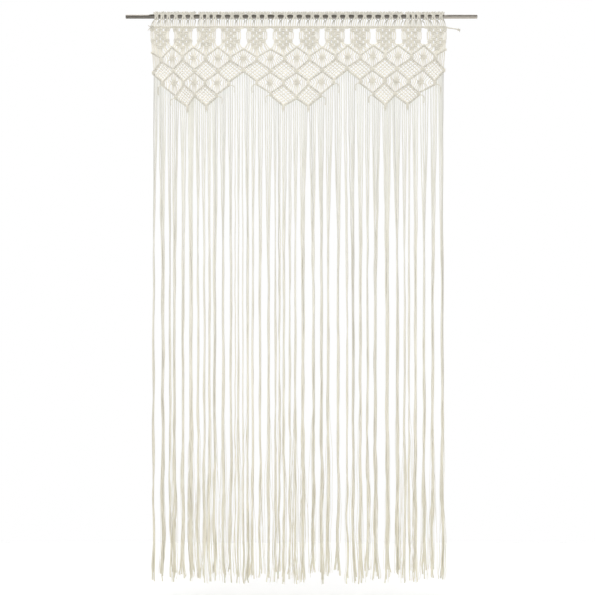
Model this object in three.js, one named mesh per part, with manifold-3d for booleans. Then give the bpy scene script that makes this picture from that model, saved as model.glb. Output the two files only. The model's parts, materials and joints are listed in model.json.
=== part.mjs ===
// Macrame door curtain on a plain round rod: loops, a heading bar, twelve knotted shields, a diamond
// lattice in three scallops and a long fringe.
// Sizes are millimetres. The origin is on the rod's axis, at the middle of its length. +X runs along
// the rod to the right as seen from the front, -Y is the front and +Z is up.

import * as THREE from "three";
import { mergeVertices } from "three/addons/utils/BufferGeometryUtils.js";
import Module from "manifold-3d";

const manifold = await Module();
manifold.setup();

// Rod
const ROD_LENGTH = 1230;
const ROD_DIAMETER = 14;
const ROD_SIDES = 24;

// Cord and the bars and knots tied with it
const CORD = 3.5;
const CLEARANCE = 0.3;
const BAR_HALF_HEIGHT = 4.6;
const BAR_RIDGE_DEPTH = 4.6;
const BAR_GROOVE_DEPTH = 3.2;
const KNOT_HEIGHT = 5.2;
const LOW_HEIGHT = 2.2;
const STRAND_HALF_DEPTH = 1.8;
const STRAND_HALF_HEIGHT = 2.6;
const WEAVE_OFFSET = 0.8;

// Levels of the knotted part, each the centre of a bar or of a row of nodes
const HEADING_Z = -36;
const SHIELD_TOP_Z = -40;
const SHIELD_ROW_PITCH = 10.7;
const SHIELD_HALF_WIDTH = 27;
const CREST_Z = -107;
const UNDER_Z = -143.5;
const MIDDLE_Z = -185;
const NODE_SPREAD = 3;

// Heading bar
const HEADING_LEFT = -526;
const HEADING_RIGHT = 506;
const HEADING_HALF_HEIGHT = 4.5;
const HEADING_RIDGE_DEPTH = 5.4;
const HEADING_GROOVE_DEPTH = 4.2;
const HEADING_RIDGES = 24;
const END_KNOT = { x: -529, halfWidth: 9, halfHeight: 8, halfDepth: 6 };
const TAIL = [
  { x: 504, z: -36 },
  { x: 530, z: -37 },
  { x: 551, z: -46 },
];

// Shields: the relief as shares of a knot's height, and where the strands beside a shield meet the bar
// below it, as shares of the way from crest to node
const SHIELD_GROOVE = 0.45;
const SHIELD_SIDE = 0.5;
const SHIELD_END = 0.3;
const SHIELD_LEGS = [
  { share: 0.04, height: 0 },
  { share: 0.36, height: LOW_HEIGHT },
  { share: 0.68, height: LOW_HEIGHT / 2 },
];

// Flowers: how near the four gaps come to the centre, and where they start and end along a bar
const FLOWER_GAP_INNER = 0.17;
const FLOWER_GAP_START = 0.26;
const FLOWER_EDGE_DEPTH = 2.4;

// Loops over the rod
const LOOPS_PER_MOTIF = 3;
const LOOP_ROD_GAP = 0.4;
const LOOP_WAIST = 4.5;
const LOOP_WAIST_Z = -1;
const LOOP_FOOT = 12;
const LOOP_FOOT_DEPTH = 3;
const LOOP_FOOT_GAP = 0.4;
const LOOP_TOP = 12.6;
const LOOP_TOP_Z = 17.5;
const LOOP_TOP_SLOPE = 0.6;
const LOOP_SLIT = 0.5;

// The two strands that hang beside the lattice, as shares of the way from its edge to the first node
const EDGE_STRAND_SHARES = [0.03, 0.45];

// Fringe
const STRANDS_PER_LEG = 6;
const FRINGE_RADIUS = 2.2;
const FRINGE_SIDES = 3;
const FRINGE_TURN = 0.25;
const FRINGE_ROW_Y = 2.7;
const FRINGE_COLUMN_PITCH = 4.6;
const FRINGE_END_PITCH = 1.5;
const FRINGE_END_Z = -1972;
const FRINGE_END_SPREAD = 16;
const FRINGE_SWAY = 2;
const SWAY_PER_BUNCH = 2.4;
const END_PER_BUNCH = 5.1;
const END_PER_STRAND = 2.3;
const SCALLOP_MOTIFS = 4;
const BACKING_INSET = 0.01;
const CUT_DEPTH = 40;

// How far a strand has joined its bunch at each height
const GATHER = [
  { z: -430, gathered: 0.45 },
  { z: -900, gathered: 0.85 },
  { z: -1450, gathered: 1 },
];

// One row for each motif, left to right: the x of its shield, of the node under it, of the foot of its
// net, and, where it has one, of the scallop's tip. The bunches are the fringe's below it.
const MOTIFS = [
  { shield: -496, under: -488, foot: -485, footZ: -242, bunches: [-517, -485, -455] },
  { shield: -415, under: -414, foot: -410, footZ: -229, tip: -400, tipZ: -328, bunches: [-417, -387, -362] },
  { shield: -333, under: -335, foot: -336, footZ: -229, tip: -333, tipZ: -331, bunches: [-341, -323, -303] },
  { shield: -248, under: -250, foot: -247, footZ: -236, bunches: [-275, -246, -224] },
  { shield: -158, under: -162, foot: -158, footZ: -236, bunches: [-201, -181, -163] },
  { shield: -65, under: -65, foot: -62, footZ: -229, tip: -62, tipZ: -328, bunches: [-141, -114, -83] },
  { shield: 28, under: 26, foot: 26, footZ: -229, tip: 22, tipZ: -330, bunches: [-62, -30, 6] },
  { shield: 115, under: 115, foot: 115, footZ: -232, bunches: [42, 71, 94, 128] },
  { shield: 205, under: 208, foot: 200, footZ: -232, bunches: [163, 184, 206] },
  { shield: 295, under: 294, foot: 292, footZ: -229, tip: 294, tipZ: -316, bunches: [231, 261] },
  { shield: 385, under: 381, foot: 376, footZ: -229, tip: 372, tipZ: -319, bunches: [304, 337, 368] },
  { shield: 474, under: 465, foot: 465, footZ: -236, bunches: [402, 432, 460, 494] },
];

// One row for each line between two motifs, and one for each edge: the x of its node at each level.
const LINES = [
  { crest: -524, middle: -521 },
  { crest: -456, middle: -452, low: -441, lowZ: -290 },
  { crest: -377, middle: -376, low: -371, lowZ: -279 },
  { crest: -292, middle: -295, low: -291, lowZ: -286 },
  { crest: -203, middle: -204 },
  { crest: -111, middle: -110, low: -116, lowZ: -276 },
  { crest: -17, middle: -15, low: -19, lowZ: -279 },
  { crest: 72, middle: 72, low: 74, lowZ: -281 },
  { crest: 161, middle: 158 },
  { crest: 250, middle: 248, low: 244, lowZ: -274 },
  { crest: 339, middle: 333, low: 331, lowZ: -278 },
  { crest: 429, middle: 420, low: 417, lowZ: -278 },
  { crest: 504, middle: 499 },
];

// Nodes of the lattice as points in the curtain's plane
const crest = (line) => ({ x: LINES[line].crest, z: CREST_Z });
const under = (motif) => ({ x: MOTIFS[motif].under, z: UNDER_Z });
const middle = (line) => ({ x: LINES[line].middle, z: MIDDLE_Z });
const foot = (motif) => ({ x: MOTIFS[motif].foot, z: MOTIFS[motif].footZ });
const low = (line) => ({ x: LINES[line].low, z: LINES[line].lowZ });
const tip = (motif) => ({ x: MOTIFS[motif].tip, z: MOTIFS[motif].tipZ });
const raised = (point, rise) => ({ x: point.x, z: point.z + rise });

function between(start, end, share) {
  return {
    x: THREE.MathUtils.lerp(start.x, end.x, share),
    z: THREE.MathUtils.lerp(start.z, end.z, share),
  };
}

// The two inner lines and tips of each scallop follow from its first motif.
function borderNodes(first) {
  return [
    middle(first),
    foot(first),
    low(first + 1),
    tip(first + 1),
    low(first + 2),
    tip(first + 2),
    low(first + 3),
    foot(first + 3),
    middle(first + 4),
  ];
}

// A closed mesh as a solid, turned outside out where its faces point inwards
function solidFrom(geometry) {
  const bare = new THREE.BufferGeometry();
  bare.setAttribute("position", geometry.getAttribute("position"));
  bare.setIndex(geometry.getIndex());
  const merged = mergeVertices(bare);
  const points = merged.getAttribute("position").array;
  const index = Uint32Array.from(merged.getIndex().array);
  if (signedVolume(points, index) < 0) index.reverse();
  return new manifold.Manifold(
    new manifold.Mesh({ numProp: 3, vertProperties: Float32Array.from(points), triVerts: index }),
  );
}

function signedVolume(points, index) {
  const corners = [new THREE.Vector3(), new THREE.Vector3(), new THREE.Vector3()];
  let volume = 0;
  for (let i = 0; i < index.length; i += 3) {
    corners.forEach((corner, side) => corner.fromArray(points, 3 * index[i + side]));
    volume += corners[0].dot(corners[1].clone().cross(corners[2])) / 6;
  }
  return volume;
}

function geometryFrom(solid) {
  const mesh = solid.getMesh();
  const geometry = new THREE.BufferGeometry();
  geometry.setAttribute("position", new THREE.BufferAttribute(mesh.vertProperties, 3));
  geometry.setIndex(new THREE.BufferAttribute(mesh.triVerts, 1));
  geometry.computeVertexNormals();
  return geometry;
}

// Joins solids in pairs, so that no step has a large and a small one for long.
function joined(solids) {
  let level = solids;
  while (level.length > 1) {
    const next = [];
    for (let i = 0; i < level.length; i += 2) {
      next.push(i + 1 < level.length ? level[i].add(level[i + 1]) : level[i]);
    }
    level = next;
  }
  return level[0];
}

// A solid through rings of equally many [x, y, z] points, closed at both ends
function loft(rings) {
  const sides = rings[0].length;
  const last = (rings.length - 1) * sides;
  const index = [];
  for (let start = 0; start < last; start += sides) {
    for (let side = 0; side < sides; side += 1) {
      const a = start + side;
      const b = start + ((side + 1) % sides);
      index.push(a, b, b + sides, a, b + sides, a + sides);
    }
  }
  for (let side = 1; side < sides - 1; side += 1) {
    index.push(0, side + 1, side);
    index.push(last, last + side, last + side + 1);
  }
  const geometry = new THREE.BufferGeometry();
  geometry.setAttribute("position", new THREE.Float32BufferAttribute(rings.flat(2), 3));
  geometry.setIndex(index);
  return solidFrom(geometry);
}

const boxRing = (point, height, front, back) => [
  [point.x, front, point.z + height],
  [point.x, front, point.z - height],
  [point.x, back, point.z - height],
  [point.x, back, point.z + height],
];

// A bar of half hitches along a zigzag of nodes, thin at each node and ridged halfway to the next
function bar(nodes) {
  const ring = (point, depth) => boxRing(point, BAR_HALF_HEIGHT, -depth, depth);
  return loft(
    nodes.flatMap((node, number) => {
      if (number === 0) return [ring(node, BAR_GROOVE_DEPTH)];
      const ridge = between(nodes[number - 1], node, 0.5);
      return [ring(ridge, BAR_RIDGE_DEPTH), ring(node, BAR_GROOVE_DEPTH)];
    }),
  );
}

// A flat strand between two points of the curtain's plane
function strand(start, end, shift) {
  const front = shift - STRAND_HALF_DEPTH;
  const back = shift + STRAND_HALF_DEPTH;
  return loft([start, end].map((point) => boxRing(point, STRAND_HALF_HEIGHT, front, back)));
}

// A woven net in a diamond, at twice the pitch of its strands
function net(diamond) {
  const parts = [];
  for (const share of [1 / 3, 2 / 3]) {
    const fromLeft = between(diamond.top, diamond.left, share);
    const toRight = between(diamond.right, diamond.bottom, share);
    const fromRight = between(diamond.top, diamond.right, share);
    const toLeft = between(diamond.left, diamond.bottom, share);
    parts.push(strand(fromLeft, toRight, -WEAVE_OFFSET));
    parts.push(strand(toLeft, fromRight, WEAVE_OFFSET));
  }
  return parts;
}

// A closed skin over { x, z, height } points: the same triangles in front and behind, and a rim between
// them. At a height of 0 the front and the back share the point.
function pillow(points, triangles) {
  const position = [];
  const index = [];
  const back = points.map((point, i) => (point.height ? points.length + i : i));
  points.forEach((point) => position.push(point.x, -point.height, point.z));
  points.forEach((point) => position.push(point.x, point.height, point.z));
  const edges = new Set();
  for (const [a, b, c] of triangles) {
    index.push(a, b, c);
    index.push(back[a], back[c], back[b]);
    [[a, b], [b, c], [c, a]].forEach((edge) => edges.add(edge.join()));
  }
  for (const edge of edges) {
    const [a, b] = edge.split(",").map(Number);
    if (edges.has([b, a].join())) continue;
    if (back[a] !== a) index.push(b, a, back[a]);
    if (back[b] !== b) index.push(b, back[a], back[b]);
  }
  const geometry = new THREE.BufferGeometry();
  geometry.setAttribute("position", new THREE.Float32BufferAttribute(position, 3));
  geometry.setIndex(index);
  return solidFrom(geometry);
}

// Triangles between two rows of points that run the same way. Each step takes the shorter diagonal, or
// the higher one where both are as long, so that raised points are joined by ridges.
function zip(points, upper, lower) {
  const cost = (a, b) => {
    if (a === undefined || b === undefined) return Infinity;
    return Math.abs(points[a].x - points[b].x) - 0.01 * (points[a].height + points[b].height);
  };
  const triangles = [];
  let u = 0;
  let l = 0;
  while (u < upper.length - 1 || l < lower.length - 1) {
    if (cost(upper[u + 1], lower[l]) < cost(upper[u], lower[l + 1])) {
      triangles.push([upper[u], lower[l], upper[u + 1]]);
      u += 1;
    } else {
      triangles.push([upper[u], lower[l], lower[l + 1]]);
      l += 1;
    }
  }
  return triangles;
}

// A gathered square knot in a diamond: four arms of strands, from the bars to the raised knot
function flower(diamond) {
  const centre = between(diamond.left, diamond.right, 0.5);
  centre.z = (diamond.top.z + diamond.bottom.z) / 2;
  const corners = [diamond.top, diamond.right, diamond.bottom, diamond.left];
  const points = [{ ...centre, height: KNOT_HEIGHT }];
  const triangles = [];
  corners.forEach((corner) => {
    points.push({ ...between(centre, corner, FLOWER_GAP_INNER), height: 0 });
  });
  corners.forEach((corner, arm) => {
    const nextCorner = corners[(arm + 1) % 4];
    const first = points.length;
    points.push({ ...between(corner, nextCorner, FLOWER_GAP_START), height: 0 });
    points.push({ ...between(corner, nextCorner, 0.5), height: FLOWER_EDGE_DEPTH });
    points.push({ ...between(corner, nextCorner, 1 - FLOWER_GAP_START), height: 0 });
    const innerStart = 1 + arm;
    const innerEnd = 1 + ((arm + 1) % 4);
    triangles.push([0, innerStart, first], [0, first, first + 1]);
    triangles.push([0, first + 1, first + 2], [0, first + 2, innerEnd]);
  });
  return pillow(points, triangles);
}

// A shield of alternating square knots, with the strands that run from it to the bar below
function shield(motif) {
  const centre = MOTIFS[motif].shield;
  const third = SHIELD_HALF_WIDTH / 3;
  const points = [];
  const row = (z, columns) => columns.map(([x, height]) => points.push({ x: centre + x, z, height }) - 1);
  const rowZ = (number) => SHIELD_TOP_Z - (number + 0.5) * SHIELD_ROW_PITCH;
  const groove = SHIELD_GROOVE;
  const wide = [[-3, 0], [-2, 1], [-1, groove], [0, 1], [1, groove], [2, 1], [3, 0]];
  const narrow = [[-3, 0], [-1, 1], [0, groove], [1, 1], [3, 0]];
  const sized = (columns) => columns.map(([x, height]) => [x * third, height * KNOT_HEIGHT]);
  const top = row(HEADING_Z, sized([[-3, 0], [3, 0]]));
  const rows = [0, 1, 2, 3, 4].map((number) => row(rowZ(number), sized(number % 2 ? narrow : wide)));
  const side = SHIELD_SIDE;
  const taper = row(rowZ(5), sized([[-2, side], [-1, 1], [0, groove], [1, 1], [2, side]]));
  const last = row(rowZ(6), sized([[-1, side], [0, 1], [1, side]]));
  const end = row(rowZ(7), sized([[0, SHIELD_END]]));

  const triangles = [...zip(points, top, rows[0])];
  rows.slice(0, -1).forEach((upper, number) => triangles.push(...zip(points, upper, rows[number + 1])));
  triangles.push(...zip(points, rows[4].slice(1, -1), taper));
  triangles.push(...zip(points, taper, last));
  triangles.push([last[0], end[0], last[1]], [last[1], end[0], last[2]]);

  const bottom = points.push({ ...under(motif), height: LOW_HEIGHT }) - 1;
  for (const right of [0, 1]) {
    const pick = (indices) => (right ? indices[indices.length - 1] : indices[0]);
    const second = right ? rows[4][5] : rows[4][1];
    const leg = SHIELD_LEGS.map(({ share, height }) => {
      const place = between(crest(motif + right), under(motif), share);
      return points.push({ ...place, height }) - 1;
    });
    const edge = [pick(rows[4]), second, pick(taper), pick(last), end[0]];
    const outer = [leg[0], leg[0], leg[1], leg[2], bottom];
    const faces = [];
    edge.slice(0, -1).forEach((start, i) => {
      if (outer[i] !== outer[i + 1]) faces.push([start, outer[i], outer[i + 1]]);
      faces.push([start, outer[i + 1], edge[i + 1]]);
    });
    triangles.push(...(right ? faces.map(([a, b, c]) => [a, c, b]) : faces));
  }
  return pillow(points, triangles);
}

// One group of cords over the rod: spread at the heading, pinched against the rod, spread above it
function loop(x, halfSpacing) {
  const clear = ROD_DIAMETER / 2 + LOOP_ROD_GAP;
  const outer = clear + CORD;
  const outerTop = outer * LOOP_TOP_SLOPE;
  const footGap = LOOP_FOOT_GAP / 2;
  const topHalf = Math.min(LOOP_TOP, halfSpacing - LOOP_SLIT / 2);
  const footHalf = Math.min(LOOP_FOOT, halfSpacing - LOOP_SLIT / 2);
  const profile = [
    { half: footHalf, inner: [-footGap, HEADING_Z], outer: [-LOOP_FOOT_DEPTH, HEADING_Z] },
    { half: LOOP_WAIST, inner: [-clear, LOOP_WAIST_Z], outer: [-outer, LOOP_WAIST_Z] },
    { half: topHalf, inner: [-clear, clear], outer: [-outerTop, LOOP_TOP_Z] },
    { half: topHalf, inner: [clear, clear], outer: [outerTop, LOOP_TOP_Z] },
    { half: LOOP_WAIST, inner: [clear, LOOP_WAIST_Z], outer: [outer, LOOP_WAIST_Z] },
    { half: footHalf, inner: [footGap, HEADING_Z], outer: [LOOP_FOOT_DEPTH, HEADING_Z] },
  ];
  return loft(
    profile.map((section) => [
      [x - section.half, ...section.inner],
      [x + section.half, ...section.inner],
      [x + section.half, ...section.outer],
      [x - section.half, ...section.outer],
    ]),
  );
}

function loops() {
  const parts = [];
  const last = MOTIFS.length - 1;
  MOTIFS.forEach((motif, number) => {
    const left = number > 0 ? (MOTIFS[number - 1].shield + motif.shield) / 2 : HEADING_LEFT;
    const right = number < last ? (MOTIFS[number + 1].shield + motif.shield) / 2 : HEADING_RIGHT;
    const spacing = (right - left) / LOOPS_PER_MOTIF;
    for (let group = 0; group < LOOPS_PER_MOTIF; group += 1) {
      parts.push(loop(left + (group + 0.5) * spacing, spacing / 2));
    }
  });
  return parts;
}

// The heading cord under its row of hitches, with the knot at its left end and its loose right end
function heading() {
  const steps = 2 * HEADING_RIDGES;
  const rings = [];
  for (let step = 0; step <= steps; step += 1) {
    const depth = step % 2 ? HEADING_RIDGE_DEPTH : HEADING_GROOVE_DEPTH;
    const x = THREE.MathUtils.lerp(HEADING_LEFT, HEADING_RIGHT, step / steps);
    rings.push(boxRing({ x, z: HEADING_Z }, HEADING_HALF_HEIGHT, -depth, depth));
  }
  const knot = new THREE.IcosahedronGeometry(1, 0);
  knot.scale(END_KNOT.halfWidth, END_KNOT.halfDepth, END_KNOT.halfHeight);
  knot.translate(END_KNOT.x, 0, HEADING_Z);
  const tail = loft(TAIL.map((point) => boxRing(point, CORD / 2, -CORD / 2, CORD / 2)));
  return [loft(rings), solidFrom(knot), tail];
}

// The knotted cloth above its scalloped edge
function lattice() {
  const parts = [];
  const motifs = [...MOTIFS.keys()];
  const zigzag = (outer, inner) => [
    ...motifs.flatMap((motif) => [outer(motif), inner(motif)]),
    outer(motifs.length),
  ];
  parts.push(bar(zigzag(crest, (motif) => raised(under(motif), NODE_SPREAD))));
  parts.push(bar(zigzag(middle, (motif) => raised(under(motif), -NODE_SPREAD))));
  parts.push(bar(zigzag((line) => raised(middle(line), -NODE_SPREAD), foot)));
  for (const line of motifs.slice(1)) {
    parts.push(
      flower({ top: crest(line), left: under(line - 1), right: under(line), bottom: middle(line) }),
    );
  }
  for (const motif of motifs) {
    parts.push(shield(motif));
    parts.push(
      ...net({ top: under(motif), left: middle(motif), right: middle(motif + 1), bottom: foot(motif) }),
    );
  }
  for (let first = 0; first < MOTIFS.length; first += SCALLOP_MOTIFS) {
    const lines = [first + 1, first + 2, first + 3];
    parts.push(bar([foot(first), ...lines.flatMap((line) => [low(line), foot(line)])]));
    for (const line of lines) {
      parts.push(
        flower({ top: middle(line), left: foot(line - 1), right: foot(line), bottom: low(line) }),
      );
    }
    for (const motif of [first + 1, first + 2]) {
      parts.push(
        ...net({ top: foot(motif), left: low(motif), right: low(motif + 1), bottom: tip(motif) }),
      );
    }
  }
  for (const [edge, motif] of [[0, 0], [MOTIFS.length, MOTIFS.length - 1]]) {
    for (const share of EDGE_STRAND_SHARES) {
      const top = between(crest(edge), under(motif), share);
      const bottom = between(middle(edge), under(motif), share);
      parts.push(uprightStrand(top, bottom));
    }
  }
  return parts;
}

function uprightStrand(top, bottom) {
  const half = CORD / 2;
  const ring = (point) => [
    [point.x - half, -half, point.z],
    [point.x + half, -half, point.z],
    [point.x + half, half, point.z],
    [point.x - half, half, point.z],
  ];
  return loft([ring(top), ring(bottom)]);
}

// Everything below the scalloped edge, which the fringe's own bars fill
function belowEdge() {
  const rise = BAR_HALF_HEIGHT + 2 * CLEARANCE;
  const outline = [];
  for (let first = 0; first < MOTIFS.length; first += SCALLOP_MOTIFS) {
    const nodes = borderNodes(first).map((node) => raised(node, rise));
    outline.push(...(first ? nodes.slice(1) : nodes));
  }
  const side = ROD_LENGTH / 2;
  const shape = new THREE.Shape();
  shape.moveTo(-side, outline[0].z);
  outline.forEach((point) => shape.lineTo(point.x, point.z));
  shape.lineTo(side, outline[outline.length - 1].z);
  shape.lineTo(side, -2 * side);
  shape.lineTo(-side, -2 * side);
  const geometry = new THREE.ExtrudeGeometry(shape, { depth: CUT_DEPTH, bevelEnabled: false });
  geometry.rotateX(Math.PI / 2);
  geometry.translate(0, CUT_DEPTH / 2, 0);
  return solidFrom(mergedPositions(geometry));
}

// An extruded shape without its normals and texture places, so that shared corners are one point
function mergedPositions(geometry) {
  geometry.deleteAttribute("normal");
  geometry.deleteAttribute("uv");
  return mergeVertices(geometry);
}

// The bunch of its own scallop that hangs nearest to a strand's root
function bunchOf(first, x) {
  const places = MOTIFS.slice(first, first + SCALLOP_MOTIFS).flatMap((motif) => motif.bunches);
  const distances = places.map((place) => Math.abs(place - x));
  const number = distances.indexOf(Math.min(...distances));
  return { number, x: places[number] };
}

function fringeRoots(first) {
  const nodes = borderNodes(first);
  return nodes.slice(0, -1).flatMap((node, leg) => {
    const roots = [];
    for (let step = 0; step < STRANDS_PER_LEG; step += 1) {
      roots.push(between(node, nodes[leg + 1], (step + 0.5) / STRANDS_PER_LEG));
    }
    return roots;
  });
}

function fringeRing(x, y, z) {
  const ring = [];
  for (let side = 0; side < FRINGE_SIDES; side += 1) {
    const angle = (2 * Math.PI * (side + FRINGE_TURN)) / FRINGE_SIDES;
    ring.push([x + FRINGE_RADIUS * Math.cos(angle), y + FRINGE_RADIUS * Math.sin(angle), z]);
  }
  return ring;
}

// One scallop's fringe: its lowest bars, and the strands that hang from them and gather in bunches
function fringe(first) {
  const roots = fringeRoots(first);
  const members = new Map();
  roots.forEach((root) => {
    const { number } = bunchOf(first, root.x);
    members.set(number, [...(members.get(number) ?? []), root]);
  });
  const parts = [];
  for (const [number, list] of members) {
    const columns = Math.ceil(list.length / 2);
    list.forEach((root, i) => {
      const column = Math.floor(i / 2) - (columns - 1) / 2;
      const place = bunchOf(first, root.x).x + column * FRINGE_COLUMN_PITCH;
      const y = i % 2 ? FRINGE_ROW_Y : -FRINGE_ROW_Y;
      const sway = FRINGE_SWAY * Math.sin(SWAY_PER_BUNCH * number);
      const rings = [fringeRing(root.x, 0, root.z)];
      GATHER.forEach((level, step) => {
        const x = THREE.MathUtils.lerp(root.x, place, level.gathered) + (step % 2 ? sway : -sway);
        rings.push(fringeRing(x, y, level.z));
      });
      const turn = END_PER_BUNCH * number + END_PER_STRAND * i;
      const endZ = FRINGE_END_Z + FRINGE_END_SPREAD * Math.sin(turn);
      rings.push(fringeRing(place + column * FRINGE_END_PITCH, y, endZ));
      parts.push(loft(rings));
    });
  }
  const nodes = borderNodes(first);
  const last = nodes.length - 1;
  nodes[0] = between(nodes[0], nodes[1], BACKING_INSET);
  nodes[last] = between(nodes[last], nodes[last - 1], BACKING_INSET);
  return [bar(nodes), ...parts];
}

function part(name, geometry, material) {
  const mesh = new THREE.Mesh(geometry, material);
  mesh.name = name;
  return mesh;
}

const rodMetal = new THREE.MeshStandardMaterial({ color: 0x6a6760, roughness: 0.42, metalness: 0.8 });
const cotton = new THREE.MeshStandardMaterial({ color: 0xe9e4d6, roughness: 0.95, metalness: 0 });
const fringeCotton = new THREE.MeshStandardMaterial({ color: 0xf1eee6, roughness: 0.95, metalness: 0 });

const rod = new THREE.CylinderGeometry(ROD_DIAMETER / 2, ROD_DIAMETER / 2, ROD_LENGTH, ROD_SIDES);
rod.rotateZ(Math.PI / 2);

const curtain = new THREE.Group();
curtain.add(part("rod", rod, rodMetal));
const cloth = joined([...heading(), ...loops(), ...lattice()]).subtract(belowEdge());
curtain.add(part("knotted_heading", geometryFrom(cloth), cotton));
["left", "middle", "right"].forEach((side, scallop) => {
  const solid = joined(fringe(scallop * SCALLOP_MOTIFS));
  curtain.add(part(`fringe_${side}`, geometryFrom(solid), fringeCotton));
});

export default curtain;
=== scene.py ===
"""The looks of a macrame door curtain: every cord, hitch and knot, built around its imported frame.

Sizes in this file are millimetres, and each mesh is turned into metres as it is made. +X runs along the
rod to the right as seen from the front, -Y is the front and +Z is up.
"""

import json
import logging
import math
import random
from collections.abc import Iterable, Sequence
from dataclasses import dataclass, field
from enum import Enum
from typing import NamedTuple

import bpy
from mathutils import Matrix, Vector

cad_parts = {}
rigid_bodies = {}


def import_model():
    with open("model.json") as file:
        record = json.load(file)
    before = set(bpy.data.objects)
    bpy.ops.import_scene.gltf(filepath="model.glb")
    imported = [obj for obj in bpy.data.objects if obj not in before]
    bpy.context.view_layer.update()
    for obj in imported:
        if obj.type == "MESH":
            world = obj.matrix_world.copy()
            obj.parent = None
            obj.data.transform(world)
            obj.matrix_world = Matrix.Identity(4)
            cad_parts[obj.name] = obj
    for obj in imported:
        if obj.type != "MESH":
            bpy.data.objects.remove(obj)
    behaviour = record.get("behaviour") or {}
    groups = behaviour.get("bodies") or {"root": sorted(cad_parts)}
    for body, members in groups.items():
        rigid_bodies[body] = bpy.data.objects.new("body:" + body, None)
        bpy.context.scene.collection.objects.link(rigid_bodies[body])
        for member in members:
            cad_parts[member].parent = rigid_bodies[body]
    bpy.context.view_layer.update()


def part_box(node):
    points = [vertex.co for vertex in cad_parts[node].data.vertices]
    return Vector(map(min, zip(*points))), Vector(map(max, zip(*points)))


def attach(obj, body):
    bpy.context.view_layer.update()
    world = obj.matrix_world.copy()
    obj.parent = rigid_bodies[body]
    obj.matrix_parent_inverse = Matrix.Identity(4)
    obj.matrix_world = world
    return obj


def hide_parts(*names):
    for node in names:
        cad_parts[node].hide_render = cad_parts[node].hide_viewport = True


LOG = logging.getLogger("curtain")
METRES = 0.001

# The photograph's frame
IMAGE_SIDE = 595
MM_PER_PIXEL = 3.5
AXIS_PIXEL_X = 301.5
AXIS_PIXEL_Y = 16.7

# Cord
CORD_RADIUS = 1.75
STRAND_RADIUS = 2.1
LEADER_RADIUS = 1.5
UV_NAME = "UVMap"

Spot = tuple[float, float]
Triple = tuple[float, float, float]
Tree = bpy.types.NodeTree
Socket = bpy.types.NodeSocket


@dataclass(frozen=True)
class Motif:
    """One repeat of the pattern, left to right: the x of its middle loop on the rod and how far apart its
    loops are, the x of its shield, and the x and z of the node under it, of its net's foot and of the
    scallop's tip."""

    loop: float
    loop_pitch: float
    shield: float
    under: Spot
    foot: Spot
    tip: Spot = (0.0, 0.0)


@dataclass(frozen=True)
class GapLine:
    """The line between two motifs, or an edge of the curtain: the x and z of its node at each level."""

    crest: Spot
    middle: Spot
    low: Spot = (0.0, 0.0)


@dataclass(frozen=True)
class Scallop:
    """Four motifs that end in one fringe, and the x of the bunches that its strands hang in."""

    side: str
    first: int
    bunches: tuple[float, ...]

    def last(self) -> int:
        """Returns the number of its last motif."""
        return self.first + 3

    def lines(self) -> range:
        """Returns the numbers of the gap lines between its motifs."""
        return range(self.first + 1, self.last() + 1)

    def tips(self) -> range:
        """Returns the numbers of its two middle motifs, which end in a tip."""
        return range(self.first + 1, self.last())


MOTIFS = (
    Motif(-486, 21, -495, (-490, -151), (-486, -235)),
    Motif(-411, 28, -415, (-416, -144), (-412, -233), (-399, -315)),
    Motif(-327, 23, -333, (-335, -145), (-338, -232), (-333, -313)),
    Motif(-243, 31, -248, (-249, -147), (-254, -235)),
    Motif(-152, 28, -157, (-156, -147), (-156, -232)),
    Motif(-56, 33, -64, (-60, -146), (-63, -232), (-63, -312)),
    Motif(38, 30, 28, (28, -144), (24, -231), (24, -313)),
    Motif(129, 30, 116, (120, -142), (113, -228)),
    Motif(221, 31, 205, (206, -141), (205, -227)),
    Motif(313, 29, 296, (293, -138), (291, -224), (293, -309)),
    Motif(391, 19, 385, (384, -140), (375, -228), (371, -307)),
    Motif(461, 26, 474, (467, -143), (466, -232)),
)

LINES = (
    GapLine((-523, -127), (-518, -197)),
    GapLine((-453, -107), (-449, -189), (-441, -282)),
    GapLine((-378, -107), (-375, -190), (-374, -274)),
    GapLine((-293, -107), (-292, -190), (-296, -276)),
    GapLine((-203, -113), (-203, -187)),
    GapLine((-108, -114), (-109, -190), (-108, -271)),
    GapLine((-16, -106), (-17, -191), (-17, -282)),
    GapLine((73, -108), (73, -187), (67, -275)),
    GapLine((162, -101), (160, -181)),
    GapLine((252, -101), (248, -183), (251, -271)),
    GapLine((339, -100), (334, -182), (327, -270)),
    GapLine((429, -101), (425, -183), (411, -270)),
    GapLine((504, -115), (498, -187)),
)

SCALLOPS = (
    Scallop(
        "left",
        0,
        (-518, -485, -460, -445, -415, -387, -362, -340, -322, -304, -274, -247, -232, -221, -205),
    ),
    Scallop("middle", 4, (-188, -171, -145, -115, -91, -77, -62, -41, -22, 5, 42, 70, 93, 128, 160)),
    Scallop("right", 8, (181, 206, 231, 258, 300, 336, 361, 376, 399, 429, 459, 493)),
)


class Ends(NamedTuple):
    """The upper and the lower end of a lattice node, where the bars above and below it meet."""

    upper: Vector
    lower: Vector


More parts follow.
